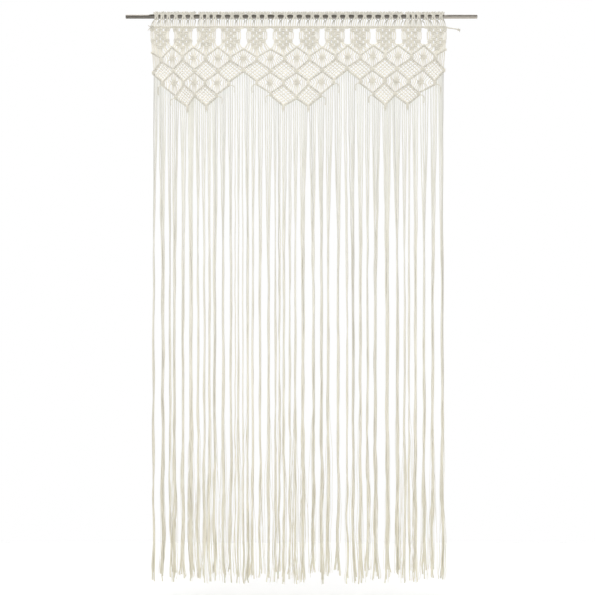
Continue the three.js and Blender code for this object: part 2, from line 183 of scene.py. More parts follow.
@dataclass(frozen=True)
class Cell:
    """A cell of the lattice. Its side nodes are tall, so each has an upper and a lower end."""

    top: Vector
    left: Ends
    right: Ends
    bottom: Vector

    def sides(self) -> tuple[tuple[Vector, Vector], ...]:
        """Lists its four sides.

        Returns:
            The ends of its upper left, upper right, lower left and lower right side.
        """
        return (
            (self.top, self.left.upper),
            (self.top, self.right.upper),
            (self.left.lower, self.bottom),
            (self.right.lower, self.bottom),
        )

    def place(self, down_left: float, down_right: float) -> Vector:
        """Finds a point in the cell.

        Args:
            down_left: share of the way from the top to the left node.
            down_right: share of the way from the top to the right node.

        Returns:
            The point, which is the bottom node at 1 and 1.
        """
        u, v = down_left, down_right
        (top, left), (_, right), (low_left, bottom), (low_right, _) = self.sides()
        inside = top.lerp(left, u) * (1 - v) + low_right.lerp(bottom, u) * v
        inside += top.lerp(right, v) * (1 - u) + low_left.lerp(bottom, v) * u
        near, far = left.lerp(low_left, 0.5), right.lerp(low_right, 0.5)
        return inside - top.lerp(near, u).lerp(far.lerp(bottom, u), v)


def flat(spot: Spot) -> Vector:
    """Returns the point at a spot of the chart, in the curtain's middle plane."""
    return Vector((spot[0], 0, spot[1]))


def ends_of(spot: Spot, spread: float) -> Ends:
    """Returns the ends of the node at a spot, which lie its spread above and below it."""
    x, z = spot
    return Ends(flat((x, z + spread)), flat((x, z - spread)))


@dataclass(frozen=True)
class Pattern:
    """The knotting chart, which says where each node, bar and strand lies."""

    heading_left: float = -528.0
    heading_right: float = 506.0
    heading_z: float = -36.0
    motif_spread: float = 5.6
    line_spread: float = 4.4
    loop_share: float = 0.7
    strands_per_leg: int = 6
    strands_per_motif: int = 12
    groups_per_motif: int = 3

    def motifs(self) -> range:
        """Returns the numbers of the motifs."""
        return range(len(MOTIFS))

    def crest(self, line: int) -> Vector:
        """Returns the node at the foot of the gap between two shields."""
        return flat(LINES[line].crest)

    def under(self, motif: int) -> Ends:
        """Returns the node under a shield."""
        return ends_of(MOTIFS[motif].under, self.motif_spread)

    def middle(self, line: int) -> Ends:
        """Returns the node below the first flower of a line."""
        return ends_of(LINES[line].middle, self.line_spread)

    def foot(self, motif: int) -> Ends:
        """Returns the node at the foot of a motif's net."""
        return ends_of(MOTIFS[motif].foot, self.motif_spread)

    def low(self, line: int) -> Ends:
        """Returns the node below the second flower of a line."""
        return ends_of(LINES[line].low, self.line_spread)

    def tip(self, motif: int) -> Vector:
        """Returns the tip of the scallop under a motif."""
        return flat(MOTIFS[motif].tip)

    def edges_of(self, motif: int) -> tuple[float, float]:
        """Finds how wide a motif is at the heading.

        Args:
            motif: the motif's number.

        Returns:
            The x of its left and of its right edge.
        """
        halfway = [(one.shield + other.shield) / 2 for one, other in zip(MOTIFS, MOTIFS[1:])]
        edges = [self.heading_left, *halfway, self.heading_right]
        return edges[motif], edges[motif + 1]

    def loop_x(self, motif: int, group: int) -> float:
        """Returns the x at which a group of strands crosses the rod."""
        middle = (self.groups_per_motif - 1) / 2
        return MOTIFS[motif].loop + (group - middle) * MOTIFS[motif].loop_pitch

    def heading_strand(self, motif: int, strand: int) -> Vector:
        """Finds where a strand is hitched to the heading cord.

        It is partly below its loop and partly above its shield, and the outer motifs flare to the ends.

        Args:
            motif: the number of its motif.
            strand: its own number in the motif, left to right.

        Returns:
            The place of its hitch.
        """
        left, right = self.edges_of(motif)
        even = left + (right - left) * (strand + 0.5) / self.strands_per_motif
        per_group = self.strands_per_motif // self.groups_per_motif
        group, place = divmod(strand, per_group)
        below = self.loop_x(motif, group) + ((place + 0.5) / per_group - 0.5) * MOTIFS[motif].loop_pitch
        share = 0.0 if motif in (0, len(MOTIFS) - 1) else self.loop_share
        return flat((even + (below - even) * share, self.heading_z))

    def leg(self, start: Vector, end: Vector) -> list[Vector]:
        """Returns where the strands of a bar's leg are hitched, from start to end."""
        count = self.strands_per_leg
        return [start.lerp(end, (number + 0.5) / count) for number in range(count)]

    def edge(self, scallop: Scallop) -> list[Vector]:
        """Lists the nodes of a scallop's lowest bars.

        Args:
            scallop: the scallop.

        Returns:
            The nodes, left to right, with its two tips among them.
        """
        nodes = [self.low(scallop.first + 1).lower]
        for motif in scallop.tips():
            nodes += [self.tip(motif), self.low(motif + 1).lower]
        return nodes

    def leaders(self) -> list[list[Vector]]:
        """Lists the leader cords, one for each run of bars.

        Returns:
            The nodes that each of them runs through.
        """
        routes = [[self.crest(0)], [self.middle(0).upper], [self.middle(0).lower]]
        for motif in self.motifs():
            routes[0] += [self.under(motif).upper, self.crest(motif + 1)]
            routes[1] += [self.under(motif).lower, self.middle(motif + 1).upper]
            routes[2] += [self.foot(motif).upper, self.middle(motif + 1).lower]
        for scallop in SCALLOPS:
            row = [self.foot(scallop.first).lower]
            for line in scallop.lines():
                row += [self.low(line).upper, self.foot(line).lower]
            routes += [row, self.edge(scallop)]
        return routes

    def flowers(self) -> list[Cell]:
        """Lists the cells that hold a gathered flower.

        Returns:
            The upper row of them, and then the lower row.
        """
        cells = []
        for line in range(1, len(MOTIFS)):
            top, bottom = self.crest(line), self.middle(line).upper
            cells.append(Cell(top, self.under(line - 1), self.under(line), bottom))
        for line in (line for scallop in SCALLOPS for line in scallop.lines()):
            top, bottom = self.middle(line).lower, self.low(line).upper
            cells.append(Cell(top, self.foot(line - 1), self.foot(line), bottom))
        return cells

    def nets(self) -> list[Cell]:
        """Lists the cells that hold a woven net.

        Returns:
            The upper row of them, and then the ones at the scallops' tips.
        """
        cells = []
        for motif in self.motifs():
            top, bottom = self.under(motif).lower, self.foot(motif).upper
            cells.append(Cell(top, self.middle(motif), self.middle(motif + 1), bottom))
        for motif in (motif for scallop in SCALLOPS for motif in scallop.tips()):
            cells.append(Cell(self.foot(motif).lower, self.low(motif), self.low(motif + 1), self.tip(motif)))
        return cells

    def border(self, scallop: Scallop) -> list[tuple[Vector, Vector]]:
        """Lists the bar legs along a scallop's lower edge.

        Args:
            scallop: the scallop.

        Returns:
            The two ends of each leg, left to right.
        """
        first, last, row = scallop.first, scallop.last(), self.edge(scallop)
        return [
            (self.middle(first).lower, self.foot(first).upper),
            (self.foot(first).lower, self.low(first + 1).upper),
            *zip(row, row[1:]),
            (self.low(last).upper, self.foot(last).lower),
            (self.foot(last).upper, self.middle(last + 1).lower),
        ]


class Board:
    """Adds nodes to a node tree and links them."""

    def __init__(self, tree: Tree) -> None:
        """Starts on a tree, which keeps what it already holds."""
        self.tree = tree

    def feed(self, value: object, socket: Socket) -> None:
        """Links a socket to another, or gives it a fixed value.

        Args:
            value: the other socket or the value.
            socket: the socket.
        """
        if isinstance(value, Socket):
            self.tree.links.new(value, socket)
        else:
            socket.default_value = value

    def add(
        self, kind: str, inputs: dict[str | int, object] | None = None, **settings: object
    ) -> bpy.types.Node:
        """Adds a node.

        Args:
            kind: the node's type.
            inputs: what its sockets read, by name or number.
            settings: the node's own options.

        Returns:
            The node.
        """
        added = self.tree.nodes.new(kind)
        for name, value in settings.items():
            setattr(added, name, value)
        for name, value in (inputs or {}).items():
            self.feed(value, added.inputs[name])
        return added

    def out(self, kind: str, inputs: dict[str | int, object], **settings: object) -> Socket:
        """Adds a node as add does and returns its first output."""
        return self.add(kind, inputs, **settings).outputs[0]

    def math(self, operation: str, *terms: object) -> Socket:
        """Adds a sum of one to three terms and returns its result."""
        return self.out("ShaderNodeMath", dict(enumerate(terms)), operation=operation)

    def vector(self, x: object, y: object, z: object = 0.0) -> Socket:
        """Joins three numbers to a vector and returns it."""
        return self.out("ShaderNodeCombineXYZ", {0: x, 1: y, 2: z})

    def split(self, vector: Socket) -> bpy.types.NodeOutputs:
        """Returns the three numbers of a vector, by the name of their axis."""
        return self.add("ShaderNodeSeparateXYZ", {0: vector}).outputs

    def ramp(
        self, value: object, span: Spot, result: Spot = (0.0, 1.0), curve: str = "LINEAR"
    ) -> Socket:
        """Adds a step, which turns a value's span into the result's and holds beyond it, and returns it."""
        inputs = dict(enumerate((value, *span, *result)))
        return self.out("ShaderNodeMapRange", inputs, interpolation_type=curve)

    def noise(self, place: Socket, scale: float, detail: float) -> Socket:
        """Adds noise that follows a place and returns how strong it is."""
        inputs = {"Vector": place, "Scale": scale, "Detail": detail}
        return self.add("ShaderNodeTexNoise", inputs).outputs["Fac"]

    def mix(
        self, factor: Socket, one: object, other: object, blend: str = "MIX"
    ) -> Socket:
        """Mixes one colour with as much of the other as the factor says, and returns it."""
        inputs = {"Factor": factor, "A": one, "B": other}
        return self.add("ShaderNodeMix", inputs, data_type="RGBA", blend_type=blend).outputs["Result"]

    def scaled(self, vector: object, factor: Socket) -> Socket:
        """Scales a vector or a colour and returns it."""
        return self.out("ShaderNodeVectorMath", {0: vector, "Scale": factor}, operation="SCALE")

    def bump(self, height: Socket, strength: float, distance: float) -> Socket:
        """Adds a bump and returns the normal that it makes."""
        inputs = {"Strength": strength, "Distance": distance, "Height": height}
        return self.out("ShaderNodeBump", inputs)

    def named(self, name: str, kind: str = "FLOAT") -> Socket:
        """Reads what a geometry carries under a name and returns it."""
        return self.out("GeometryNodeInputNamedAttribute", {"Name": name}, data_type=kind)

    def kept(
        self, geometry: Socket, name: str, value: Socket
    ) -> tuple[Socket, Socket]:
        """Keeps a value of a curve, to be read once the curve has become something else.

        Args:
            geometry: the curve.
            name: what the value is called.
            value: the value.

        Returns:
            The curve and its kept value.
        """
        keeper = self.add("GeometryNodeCaptureAttribute", {"Geometry": geometry})
        keeper.capture_items.new("FLOAT", name)
        self.feed(value, keeper.inputs[1])
        return keeper.outputs[0], keeper.outputs[1]


def new_group(
    name: str, kind: str, inputs: dict[str, tuple[str, object]], outputs: dict[str, str]
) -> Tree:
    """Makes a node group with named sockets.

    Args:
        name: the group's name.
        kind: the type of tree.
        inputs: the type and default of each input, by name.
        outputs: the type of each output, by name.

    Returns:
        The empty group.
    """
    tree = bpy.data.node_groups.new(name, kind)
    for socket, (socket_type, default) in inputs.items():
        made = tree.interface.new_socket(socket, in_out="INPUT", socket_type=socket_type)
        if default is not None:
            made.default_value = default
    for socket, socket_type in outputs.items():
        tree.interface.new_socket(socket, in_out="OUTPUT", socket_type=socket_type)
    return tree


def cord_tree() -> Tree:
    """Makes the geometry nodes that sweep a round cord along each chain of edges.

    Returns:
        The node tree, whose cords carry a UV map: once round the cord by metres along it.
    """
    inputs = {
        "Geometry": ("NodeSocketGeometry", None),
        "Radius": ("NodeSocketFloat", CORD_RADIUS * METRES),
        "Sides": ("NodeSocketInt", 6),
        "Step": ("NodeSocketFloat", 4 * METRES),
        "Finish": ("NodeSocketMaterial", None),
    }
    tree = new_group("Swept cords", "GeometryNodeTree", inputs, {"Geometry": "NodeSocketGeometry"})
    board = Board(tree)
    given = board.add("NodeGroupInput").outputs
    curve = board.out("GeometryNodeMeshToCurve", {"Mesh": given["Geometry"]})
    smooth = board.out("GeometryNodeCurveSplineType", {"Curve": curve}, spline_type="CATMULL_ROM")
    spacing = {"Curve": smooth, "Length": given["Step"]}
    even = board.out("GeometryNodeResampleCurve", spacing, mode="LENGTH")
    path, along = board.kept(even, "Length", board.add("GeometryNodeSplineParameter").outputs["Length"])
    section = {"Resolution": given["Sides"], "Radius": given["Radius"]}
    circle = board.out("GeometryNodeCurvePrimitiveCircle", section, mode="RADIUS")
    factor = board.add("GeometryNodeSplineParameter").outputs["Factor"]
    profile, around = board.kept(circle, "Factor", factor)
    sweep = board.out(
        "GeometryNodeCurveToMesh",
        {"Curve": path, "Profile Curve": profile, "Scale": board.named("thickness"), "Fill Caps": True},
    )
    # The last face round the cord runs to 1, where the circle starts again at 0
    side = board.math("DIVIDE", 1.0, given["Sides"])
    mean = board.out("GeometryNodeFieldOnDomain", {0: around}, domain="FACE", data_type="FLOAT")
    at_start = board.math("LESS_THAN", around, board.math("MULTIPLY", side, 0.5))
    past_start = board.math("GREATER_THAN", mean, side)
    unrolled = board.math("ADD", around, board.math("MULTIPLY", at_start, past_start))
    store = board.out(
        "GeometryNodeStoreNamedAttribute",
        {"Geometry": sweep, "Name": UV_NAME, "Value": board.vector(unrolled, along)},
        data_type="FLOAT2",
        domain="CORNER",
    )
    rounded = board.out("GeometryNodeSetShadeSmooth", {"Geometry": store})
    real = board.out("GeometryNodeRealizeInstances", {"Geometry": rounded})
    done = board.out("GeometryNodeSetMaterial", {"Geometry": real, "Material": given["Finish"]})
    board.add("NodeGroupOutput", {"Geometry": done})
    return tree


def knot_tree() -> Tree:
    """Makes the geometry nodes that tie a copy of one knot at each point.

    Returns:
        The node tree. Its points carry turn, size and spot_tone.
    """
    inputs = {
        "Geometry": ("NodeSocketGeometry", None),
        "Knot": ("NodeSocketObject", None),
        "Finish": ("NodeSocketMaterial", None),
    }
    tree = new_group("Tied knots", "GeometryNodeTree", inputs, {"Geometry": "NodeSocketGeometry"})
    board = Board(tree)
    given = board.add("NodeGroupInput").outputs
    knot = board.add("GeometryNodeObjectInfo", {"Object": given["Knot"]}, transform_space="ORIGINAL")
    copies = board.out(
        "GeometryNodeInstanceOnPoints",
        {
            "Points": given["Geometry"],
            "Instance": knot.outputs["Geometry"],
            "Rotation": board.out("FunctionNodeEulerToRotation", {0: board.named("turn", "FLOAT_VECTOR")}),
            "Scale": board.named("size", "FLOAT_VECTOR"),
        },
    )
    real = board.out("GeometryNodeRealizeInstances", {"Geometry": copies})
    tone = board.math("MULTIPLY", board.named("tone"), board.named("spot_tone"))
    toned = board.out(
        "GeometryNodeStoreNamedAttribute",
        {"Geometry": real, "Name": "tone", "Value": tone},
        data_type="FLOAT",
        domain="POINT",
    )
    done = board.out("GeometryNodeSetMaterial", {"Geometry": toned, "Material": given["Finish"]})
    board.add("NodeGroupOutput", {"Geometry": done})
    return tree


def placed(name: str, data: bpy.types.ID) -> bpy.types.Object:
    """Puts a mesh, a lamp or a camera in the scene.

    Args:
        name: the new object's name.
        data: what it holds.

    Returns:
        The object.
    """
    thing = bpy.data.objects.new(name, data)
    bpy.context.scene.collection.objects.link(thing)
    return thing


def grown(
    name: str, base: bpy.types.Mesh, tree: Tree, inputs: dict[str, object]
) -> bpy.types.Object:
    """Runs a geometry node tree on a mesh and keeps its result as a plain mesh.

    Args:
        name: the new object's name.
        base: the mesh that the tree starts from.
        tree: the geometry node tree.
        inputs: the tree's inputs, by name.

    Returns:
        The object, without a modifier.
    """
    piece = placed(name, base)
    modifier = piece.modifiers.new("Making", "NODES")
    modifier.node_group = tree
    sockets = {item.name: item.identifier for item in tree.interface.items_tree if item.in_out == "INPUT"}
    for socket, value in inputs.items():
        modifier[sockets[socket]] = value
    depsgraph = bpy.context.evaluated_depsgraph_get()
    plain = bpy.data.meshes.new_from_object(
        piece.evaluated_get(depsgraph), preserve_all_data_layers=True, depsgraph=depsgraph
    )
    piece.modifiers.remove(modifier)
    piece.data = plain
    bpy.data.meshes.remove(base)
    plain.name = name
    for scratch in ("turn", "size", "spot_tone", "thickness"):
        if scratch in plain.attributes:
            plain.attributes.remove(plain.attributes[scratch])
    return piece


def named_floats(mesh: bpy.types.Mesh, name: str, values: Sequence[float]) -> None:
    """Stores one number for each vertex of a mesh under a name."""
    mesh.attributes.new(name, "FLOAT", "POINT").data.foreach_set("value", list(values))


def named_vectors(mesh: bpy.types.Mesh, name: str, values: Iterable[Sequence[float]]) -> None:
    """Stores one vector for each vertex of a mesh under a name."""
    numbers = [number for value in values for number in value]
    mesh.attributes.new(name, "FLOAT_VECTOR", "POINT").data.foreach_set("vector", numbers)


@dataclass
class CordSet:
    """Paths of cords that are swept into one mesh."""

    radius: float = CORD_RADIUS
    sides: int = 6
    step: float = 4.0
    points: list[Vector] = field(default_factory=list)
    edges: list[tuple[int, int]] = field(default_factory=list)
    tones: list[float] = field(default_factory=list)
    thickness: list[float] = field(default_factory=list)

    def add(
        self,
        path: Sequence[Sequence[float]],
        tone: float | Sequence[float] = 1.0,
        thickness: float | Sequence[float] = 1.0,
        closed: bool = False,
    ) -> None:
        """Adds one cord.

        Args:
            path: the points that the cord runs through.
            tone: how light the cord is, about 1, one for all points or one for each.
            thickness: the share of the set's radius, one for all points or one for each.
            closed: whether the cord is a ring.
        """
        first = len(self.points)
        count = len(path)
        self.points += [Vector(point) for point in path]
        self.edges += [(first + i, first + i + 1) for i in range(count - 1)]
        if closed:
            self.edges.append((first + count - 1, first))
        self.tones += [tone] * count if isinstance(tone, (int, float)) else list(tone)
        self.thickness += [thickness] * count if isinstance(thickness, (int, float)) else list(thickness)

    def build(self, name: str, tree: Tree, finish: bpy.types.Material) -> bpy.types.Object:
        """Sweeps the cords.

        Args:
            name: the new object's name.
            tree: the geometry nodes that sweep cords.
            finish: the cords' material.

        Returns:
            The cords as one object.
        """
        base = bpy.data.meshes.new(name)
        base.from_pydata([point * METRES for point in self.points], self.edges, [])
        named_floats(base, "tone", self.tones)
        named_floats(base, "thickness", self.thickness)
        inputs = {
            "Radius": self.radius * METRES,
            "Sides": self.sides,
            "Step": self.step * METRES,
            "Finish": finish,
        }
        return grown(name, base, tree, inputs)


@dataclass
class KnotSet:
    """Places at which copies of one knot are tied, as one mesh."""

    points: list[Vector] = field(default_factory=list)
    turns: list[float] = field(default_factory=list)
    sizes: list[Triple] = field(default_factory=list)
    tones: list[float] = field(default_factory=list)

    def tie(self, point: Vector, turn: float, size: Triple, tone: float) -> None:
        """Adds one knot.

        Args:
            point: its centre.
            turn: its turn about Y, in radians.
            size: its scale along its own X, Y and Z.
            tone: how light it is, about 1.
        """
        self.points.append(point)
        self.turns.append(turn)
        self.sizes.append(size)
        self.tones.append(tone)

    def build(
        self, name: str, tree: Tree, knot: bpy.types.Object, finish: bpy.types.Material
    ) -> bpy.types.Object:
        """Ties the knots.

        Args:
            name: the new object's name.
            tree: the geometry nodes that tie knots.
            knot: the sample knot, which is copied.
            finish: the knots' material.

        Returns:
            The knots as one object.
        """
        base = bpy.data.meshes.new(name)
        base.from_pydata([point * METRES for point in self.points], [], [])
        named_vectors(base, "turn", [(0, turn, 0) for turn in self.turns])
        named_vectors(base, "size", self.sizes)
        named_floats(base, "spot_tone", self.tones)
        return grown(name, base, tree, {"Knot": knot, "Finish": finish})


def ring(
    centre: Sequence[float], width: float, depth: float, height: float, slant: float = 0.0, count: int = 8
) -> list[Vector]:
    """Returns the points of a wrap of cord.

    Args:
        centre: the wrap's centre.
        width: half its size along X, for a wrap about an upright bundle, or 0.
        depth: half its size along Y.
        height: half its size along Z, for a wrap about a level cord, or 0.
        slant: how far its front is off its back, across its own plane.
        count: the number of points.

    Returns:
        The points of a closed path.
    """
    points = []
    for number in range(count):
        angle = 2 * math.pi * number / count
        lean = slant * math.cos(angle)
        side = math.sin(angle)
        x = width * side if width else lean
        z = height * side if height else lean
        points.append(Vector(centre) + Vector((x, -depth * math.cos(angle), z)))
    return points


class KnotKind(Enum):
    """The knots that the curtain is tied with."""

    DOUBLE_HALF_HITCH = "double_half_hitch"
    LARKS_HEAD = "larks_head"
    SQUARE_KNOT = "square_knot"
    CROSSING = "crossing"


@dataclass(frozen=True)
class KnotShapes:
    """The wraps of each kind of knot, about the origin."""

    wrap: float = 2.35
    wrap_offset: float = 1.85
    wrap_slant: float = 0.5
    head_wrap: float = 3.2
    head_offset: float = 2.35
    head_bar: tuple[Triple, ...] = (
        (-2.95, -3.4, -2.4),
        (-1.0, -4.8, -2.9),
        (1.0, -4.8, -2.9),
        (2.95, -3.4, -2.4),
    )
    square_width: float = 5.1
    square_depth: float = 3.3
    square_rise: float = 1.85
    square_slant: float = 0.14
    square_side: tuple[Triple, ...] = (
        (4.2, -1.0, 3.9),
        (6.0, -1.5, 1.6),
        (6.0, -1.5, -1.6),
        (4.2, -1.0, -3.9),
    )
    crossing_depth: float = 3.15
    crossing_heights: Triple = (6.4, 7.36, 6.4)
    crossing_offset: float = 3.2
    crossing_slant: float = 0.6
    step: float = 2.2

    def cords(self, kind: KnotKind) -> CordSet:
        """Makes the cords of one knot.

        Args:
            kind: the knot.

        Returns:
            Its cords.
        """
        cords = CordSet(step=self.step)
        if kind is KnotKind.CROSSING:
            for place, height in zip((-1, 0, 1), self.crossing_heights):
                middle = (place * self.crossing_offset, 0, 0)
                slant = self.crossing_slant * place
                cords.add(ring(middle, 0, self.crossing_depth, height, slant), closed=True)
            return cords
        for side in (-1, 1):
            if kind is KnotKind.DOUBLE_HALF_HITCH:
                middle = (side * self.wrap_offset, 0, 0)
                cords.add(ring(middle, 0, self.wrap, self.wrap, self.wrap_slant), closed=True)
            elif kind is KnotKind.LARKS_HEAD:
                middle = (side * self.head_offset, 0, 0)
                cords.add(ring(middle, 0, self.head_wrap, self.head_wrap), closed=True)
            else:
                wrap = ring((0, 0, side * self.square_rise), self.square_width, self.square_depth, 0)
                slanted = [point + Vector((0, 0, side * self.square_slant * point.x)) for point in wrap]
                cords.add(slanted, closed=True)
                cords.add([(side * x, y, z) for x, y, z in self.square_side])
        if kind is KnotKind.LARKS_HEAD:
            cords.add(self.head_bar)
        return cords


@dataclass
class Workshop:
    """What every sub-assembly is made with: the chart, the node trees, the knots and the finishes."""

    chart: Pattern
    cord_tree: Tree
    knot_tree: Tree
    cotton: bpy.types.Material
    fringe_cotton: bpy.types.Material
    samples: dict[KnotKind, bpy.types.Object] = field(default_factory=dict)

    def prepare(self) -> None:
        """Makes one sample of each knot, to be copied."""
        for kind in KnotKind:
            knot = KnotShapes().cords(kind)
            self.samples[kind] = knot.build(f"sample_{kind.value}", self.cord_tree, self.cotton)

    def clear(self) -> None:
        """Removes the samples."""
        for sample in self.samples.values():
            mesh = sample.data
            bpy.data.objects.remove(sample)
            bpy.data.meshes.remove(mesh)


def dressed(piece: bpy.types.Object, node: str) -> None:
    """Sets the body that a finished piece rides on, hides the frame's node that it stands for, and reports
    it.

    Args:
        piece: the piece.
        node: the frame's node that it stands for.
    """
    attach(piece, "root")
    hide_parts(node)
    triangles = sum(len(face.vertices) - 2 for face in piece.data.polygons)
    LOG.info("%s: %d triangles", piece.name, triangles)


@dataclass
class Part:
    """A sub-assembly in the making, with the cords and the knots that it adds as it goes."""

    shop: Workshop
    seed: int = 0
    radius: float = STRAND_RADIUS
    sides: int = 6
    step: float = 4.0

    def __post_init__(self) -> None:
        """Starts with no cords or knots, and with its own source of random draws."""
        self.chart = self.shop.chart
        self.chance = random.Random(self.seed)
        self.cords = CordSet(self.radius, self.sides, self.step)
        self.knots = KnotSet()

    def draw(self, low: float, high: float) -> float:
        """Returns a random number between two others."""
        return self.chance.uniform(low, high)

    def swept(self, name: str) -> None:
        """Sweeps the cords as a piece of the knotted cloth."""
        piece = self.cords.build(name, self.shop.cord_tree, self.shop.cotton)
        dressed(piece, "knotted_heading")

    def tied(self, name: str, kind: KnotKind) -> None:
        """Ties the knots as a piece of the knotted cloth, and starts on new ones.

        Args:
            name: the piece's name.
            kind: the knot that they are.
        """
        shop = self.shop
        piece = self.knots.build(name, shop.knot_tree, shop.samples[kind], shop.cotton)
        dressed(piece, "knotted_heading")
        self.knots = KnotSet()


def level_turn(start: Vector, end: Vector) -> float:
    """Finds the turn about Y that lays a knot's X axis along a leg, without turning it over.

    Args:
        start: one end of the leg.
        end: its other end.

    Returns:
        The turn in radians.
    """
    run, rise = end.x - start.x, end.z - start.z
    if run < 0:
        run, rise = -run, -rise
    return -math.atan2(rise, run)


class Bend(NamedTuple):
    """A point of a strand on its way over the rod, and how light the strand is there: painted shade,
    darker on and just below the rod, where the rod and the strands around it shade each other.

    Its x lies out from the middle of its group by a share of the group's half width and by an offset.
    From there it moves a part of the way to the x at which the strand is hitched to the heading.
    """

    y: float
    z: float
    shade: float = 1.0
    share: float = 0.0
    offset: float = 0.0
    part: float = 0.0

    def place(self, centre: float, side: int, half: float = 0.0, foot: float = 0.0) -> Vector:
        """Returns the point, on one side (-1 or 1) of a group's centre, for a strand hitched at foot."""
        x = centre + side * (half * self.share + self.offset)
        return Vector((x + (foot - x) * self.part, self.y, self.z))


# The shade of each bend is painted shade, lowest where the rod and the other strands shade the strand
# The strand next to the middle of its group
INNER_STRAND = (
    Bend(-4.6, 11.5, 0.8, share=0.4),
    Bend(-6.4, 8.8, 0.78, share=0.36),
    Bend(-8.5, 4.6, 0.76, offset=2.6),
    Bend(-9.3, 1.2, 0.79, offset=1.8),
    Bend(-9.2, -2.6, 0.86, offset=2.0),
    Bend(-7.6, -7.0, 0.95, offset=3.3),
    Bend(-5.0, -13.0, offset=4.0, part=0.4),
    Bend(-3.0, -21.0, offset=4.0, part=0.7),
    Bend(-1.2, -31.0, part=1.0),
)

# The outermost strand of a group, which spreads below the rod to the next group's
OUTER_STRAND = (
    Bend(-3.6, 11.9, 0.8, share=0.88),
    Bend(-5.6, 9.4, 0.78, share=0.87),
    Bend(-7.4, 6.4, 0.74, share=0.58),
    Bend(-8.6, 3.8, 0.74, offset=4.3),
    Bend(-9.0, 0.6, 0.79, offset=4.0),
    Bend(-8.8, -2.8, 0.84, offset=4.4),
    Bend(-7.6, -6.2, 0.86, share=0.16, offset=3.2),
    Bend(-4.8, -10.0, 0.72, share=1.0, offset=-4.4),
    Bend(-2.2, -14.5, 0.64, share=1.0, offset=-1.4),
    Bend(-1.0, -21.0, 0.74, share=1.0, offset=-1.4, part=0.6),
    Bend(-0.8, -31.0, 0.95, part=1.0),
)

# The loop over the rod's top, down its back and under it
LOOP = (
    Bend(-2.5, 11.0, 0.8, offset=4.4),
    Bend(2.5, 10.2, 0.8, offset=4.2),
    Bend(8.4, 5.0, 0.8, offset=4.0),
    Bend(9.4, 0.0, 0.8, offset=3.8),
    Bend(7.2, -6.2, 0.8, offset=3.6),
    Bend(0.5, -9.6, 0.8, offset=3.4),
    Bend(-4.2, -9.8, 0.8, offset=3.2),
)

# The fold that fills the middle of a group, between its two inner strands
FOLD = (Bend(-4.4, 11.5, 0.78), Bend(-6.0, 8.8, 0.77), Bend(-7.8, 4.6, 0.76), Bend(-8.6, 1.0, 0.79))


@dataclass
class TopBand(Part):
    """The carrier cord with its lark's head knots above the rod, and the strands down to the heading."""

    seed: int = 11
    step: float = 4.5
    carrier_y: float = -6.8
    carrier_z: float = 6.3
    carrier_step: int = 40
    carrier_thickness: float = 1.13
    painted_shade_tone: float = 0.55
    head_z: float = 13.5
    head_width: float = 8.4
    head_lean: float = 0.7
    head_tone: float = 0.79

    def build(self) -> None:
        """Builds the band and its strands."""
        for motif in self.chart.motifs():
            for group in range(self.chart.groups_per_motif):
                self.band(motif, group)
                self.strands(motif, group)
        self.carrier()
        self.swept("strands_over_rod")
        self.tied("larks_head_band", KnotKind.LARKS_HEAD)

    def carrier(self) -> None:
        """Adds the carrier cord on the rod, which shows between the loops. It is toned dark as painted
        shade, and darker still at its left end as a painted shadow.
        """
        y, z = self.carrier_y, self.carrier_z
        left, right = round(self.chart.heading_left), round(self.chart.heading_right)
        path = [(left - 6, -5.2, z - 0.8), (left + 2, -6.2, z - 0.2), (left + 14, y, z)]
        path += [(x, y, z) for x in range(left + 30, right - 16, self.carrier_step)]
        path.append((right - 18, y, z))
        # Painted shade along the carrier, and a darker painted shadow at its left end
        tones = [0.5, 0.42, 0.46] + [self.painted_shade_tone] * (len(path) - 3)
        self.cords.add(path, tones, [0.4, 0.8] + [self.carrier_thickness] * (len(path) - 2))

    def band(self, motif: int, group: int) -> None:
        """Ties a group's wraps on the carrier, which lean towards where the group crosses the rod.

        Args:
            motif: the number of the motif.
            group: the number of the group in it.
        """
        centre, pitch = self.chart.loop_x(motif, group), MOTIFS[motif].loop_pitch
        count = max(2, round(pitch / self.head_width))
        for number in range(count):
            offset = (number + 0.5) / count - 0.5
            spot = flat((centre + offset * pitch, self.head_z + self.draw(-0.7, 0.7)))
            lean = self.head_lean * offset + self.draw(-0.12, 0.12)
            stretch = 1.05 * pitch / count / (self.head_width - 0.2)
            self.knots.tie(spot, lean, (stretch, 1.0, 1.0), self.head_tone + self.draw(-0.09, 0.06))

    def strands(self, motif: int, group: int) -> None:
        """Adds a group's four strands, which cross the rod in front, and the loops that hold them.

        Args:
            motif: the number of the motif.
            group: the number of the group in it.
        """
        count = self.chart.strands_per_motif // self.chart.groups_per_motif
        feet = [self.chart.heading_strand(motif, group * count + number) for number in range(count)]
        centre, half = self.chart.loop_x(motif, group), MOTIFS[motif].loop_pitch / 2
        for side, (inner, outer) in ((-1, (feet[1], feet[0])), (1, (feet[2], feet[3]))):
            for bends, foot in ((INNER_STRAND, inner), (OUTER_STRAND, outer)):
                own = self.draw(0.97, 1.04)
                path = [bend.place(centre, side, half, foot.x) for bend in bends]
                self.cords.add([*path, foot], [*(own * bend.shade for bend in bends), own])
            self.cords.add([bend.place(centre, side) for bend in LOOP], [bend.shade for bend in LOOP])
        self.cords.add([bend.place(centre, 1) for bend in FOLD], [bend.shade for bend in FOLD])


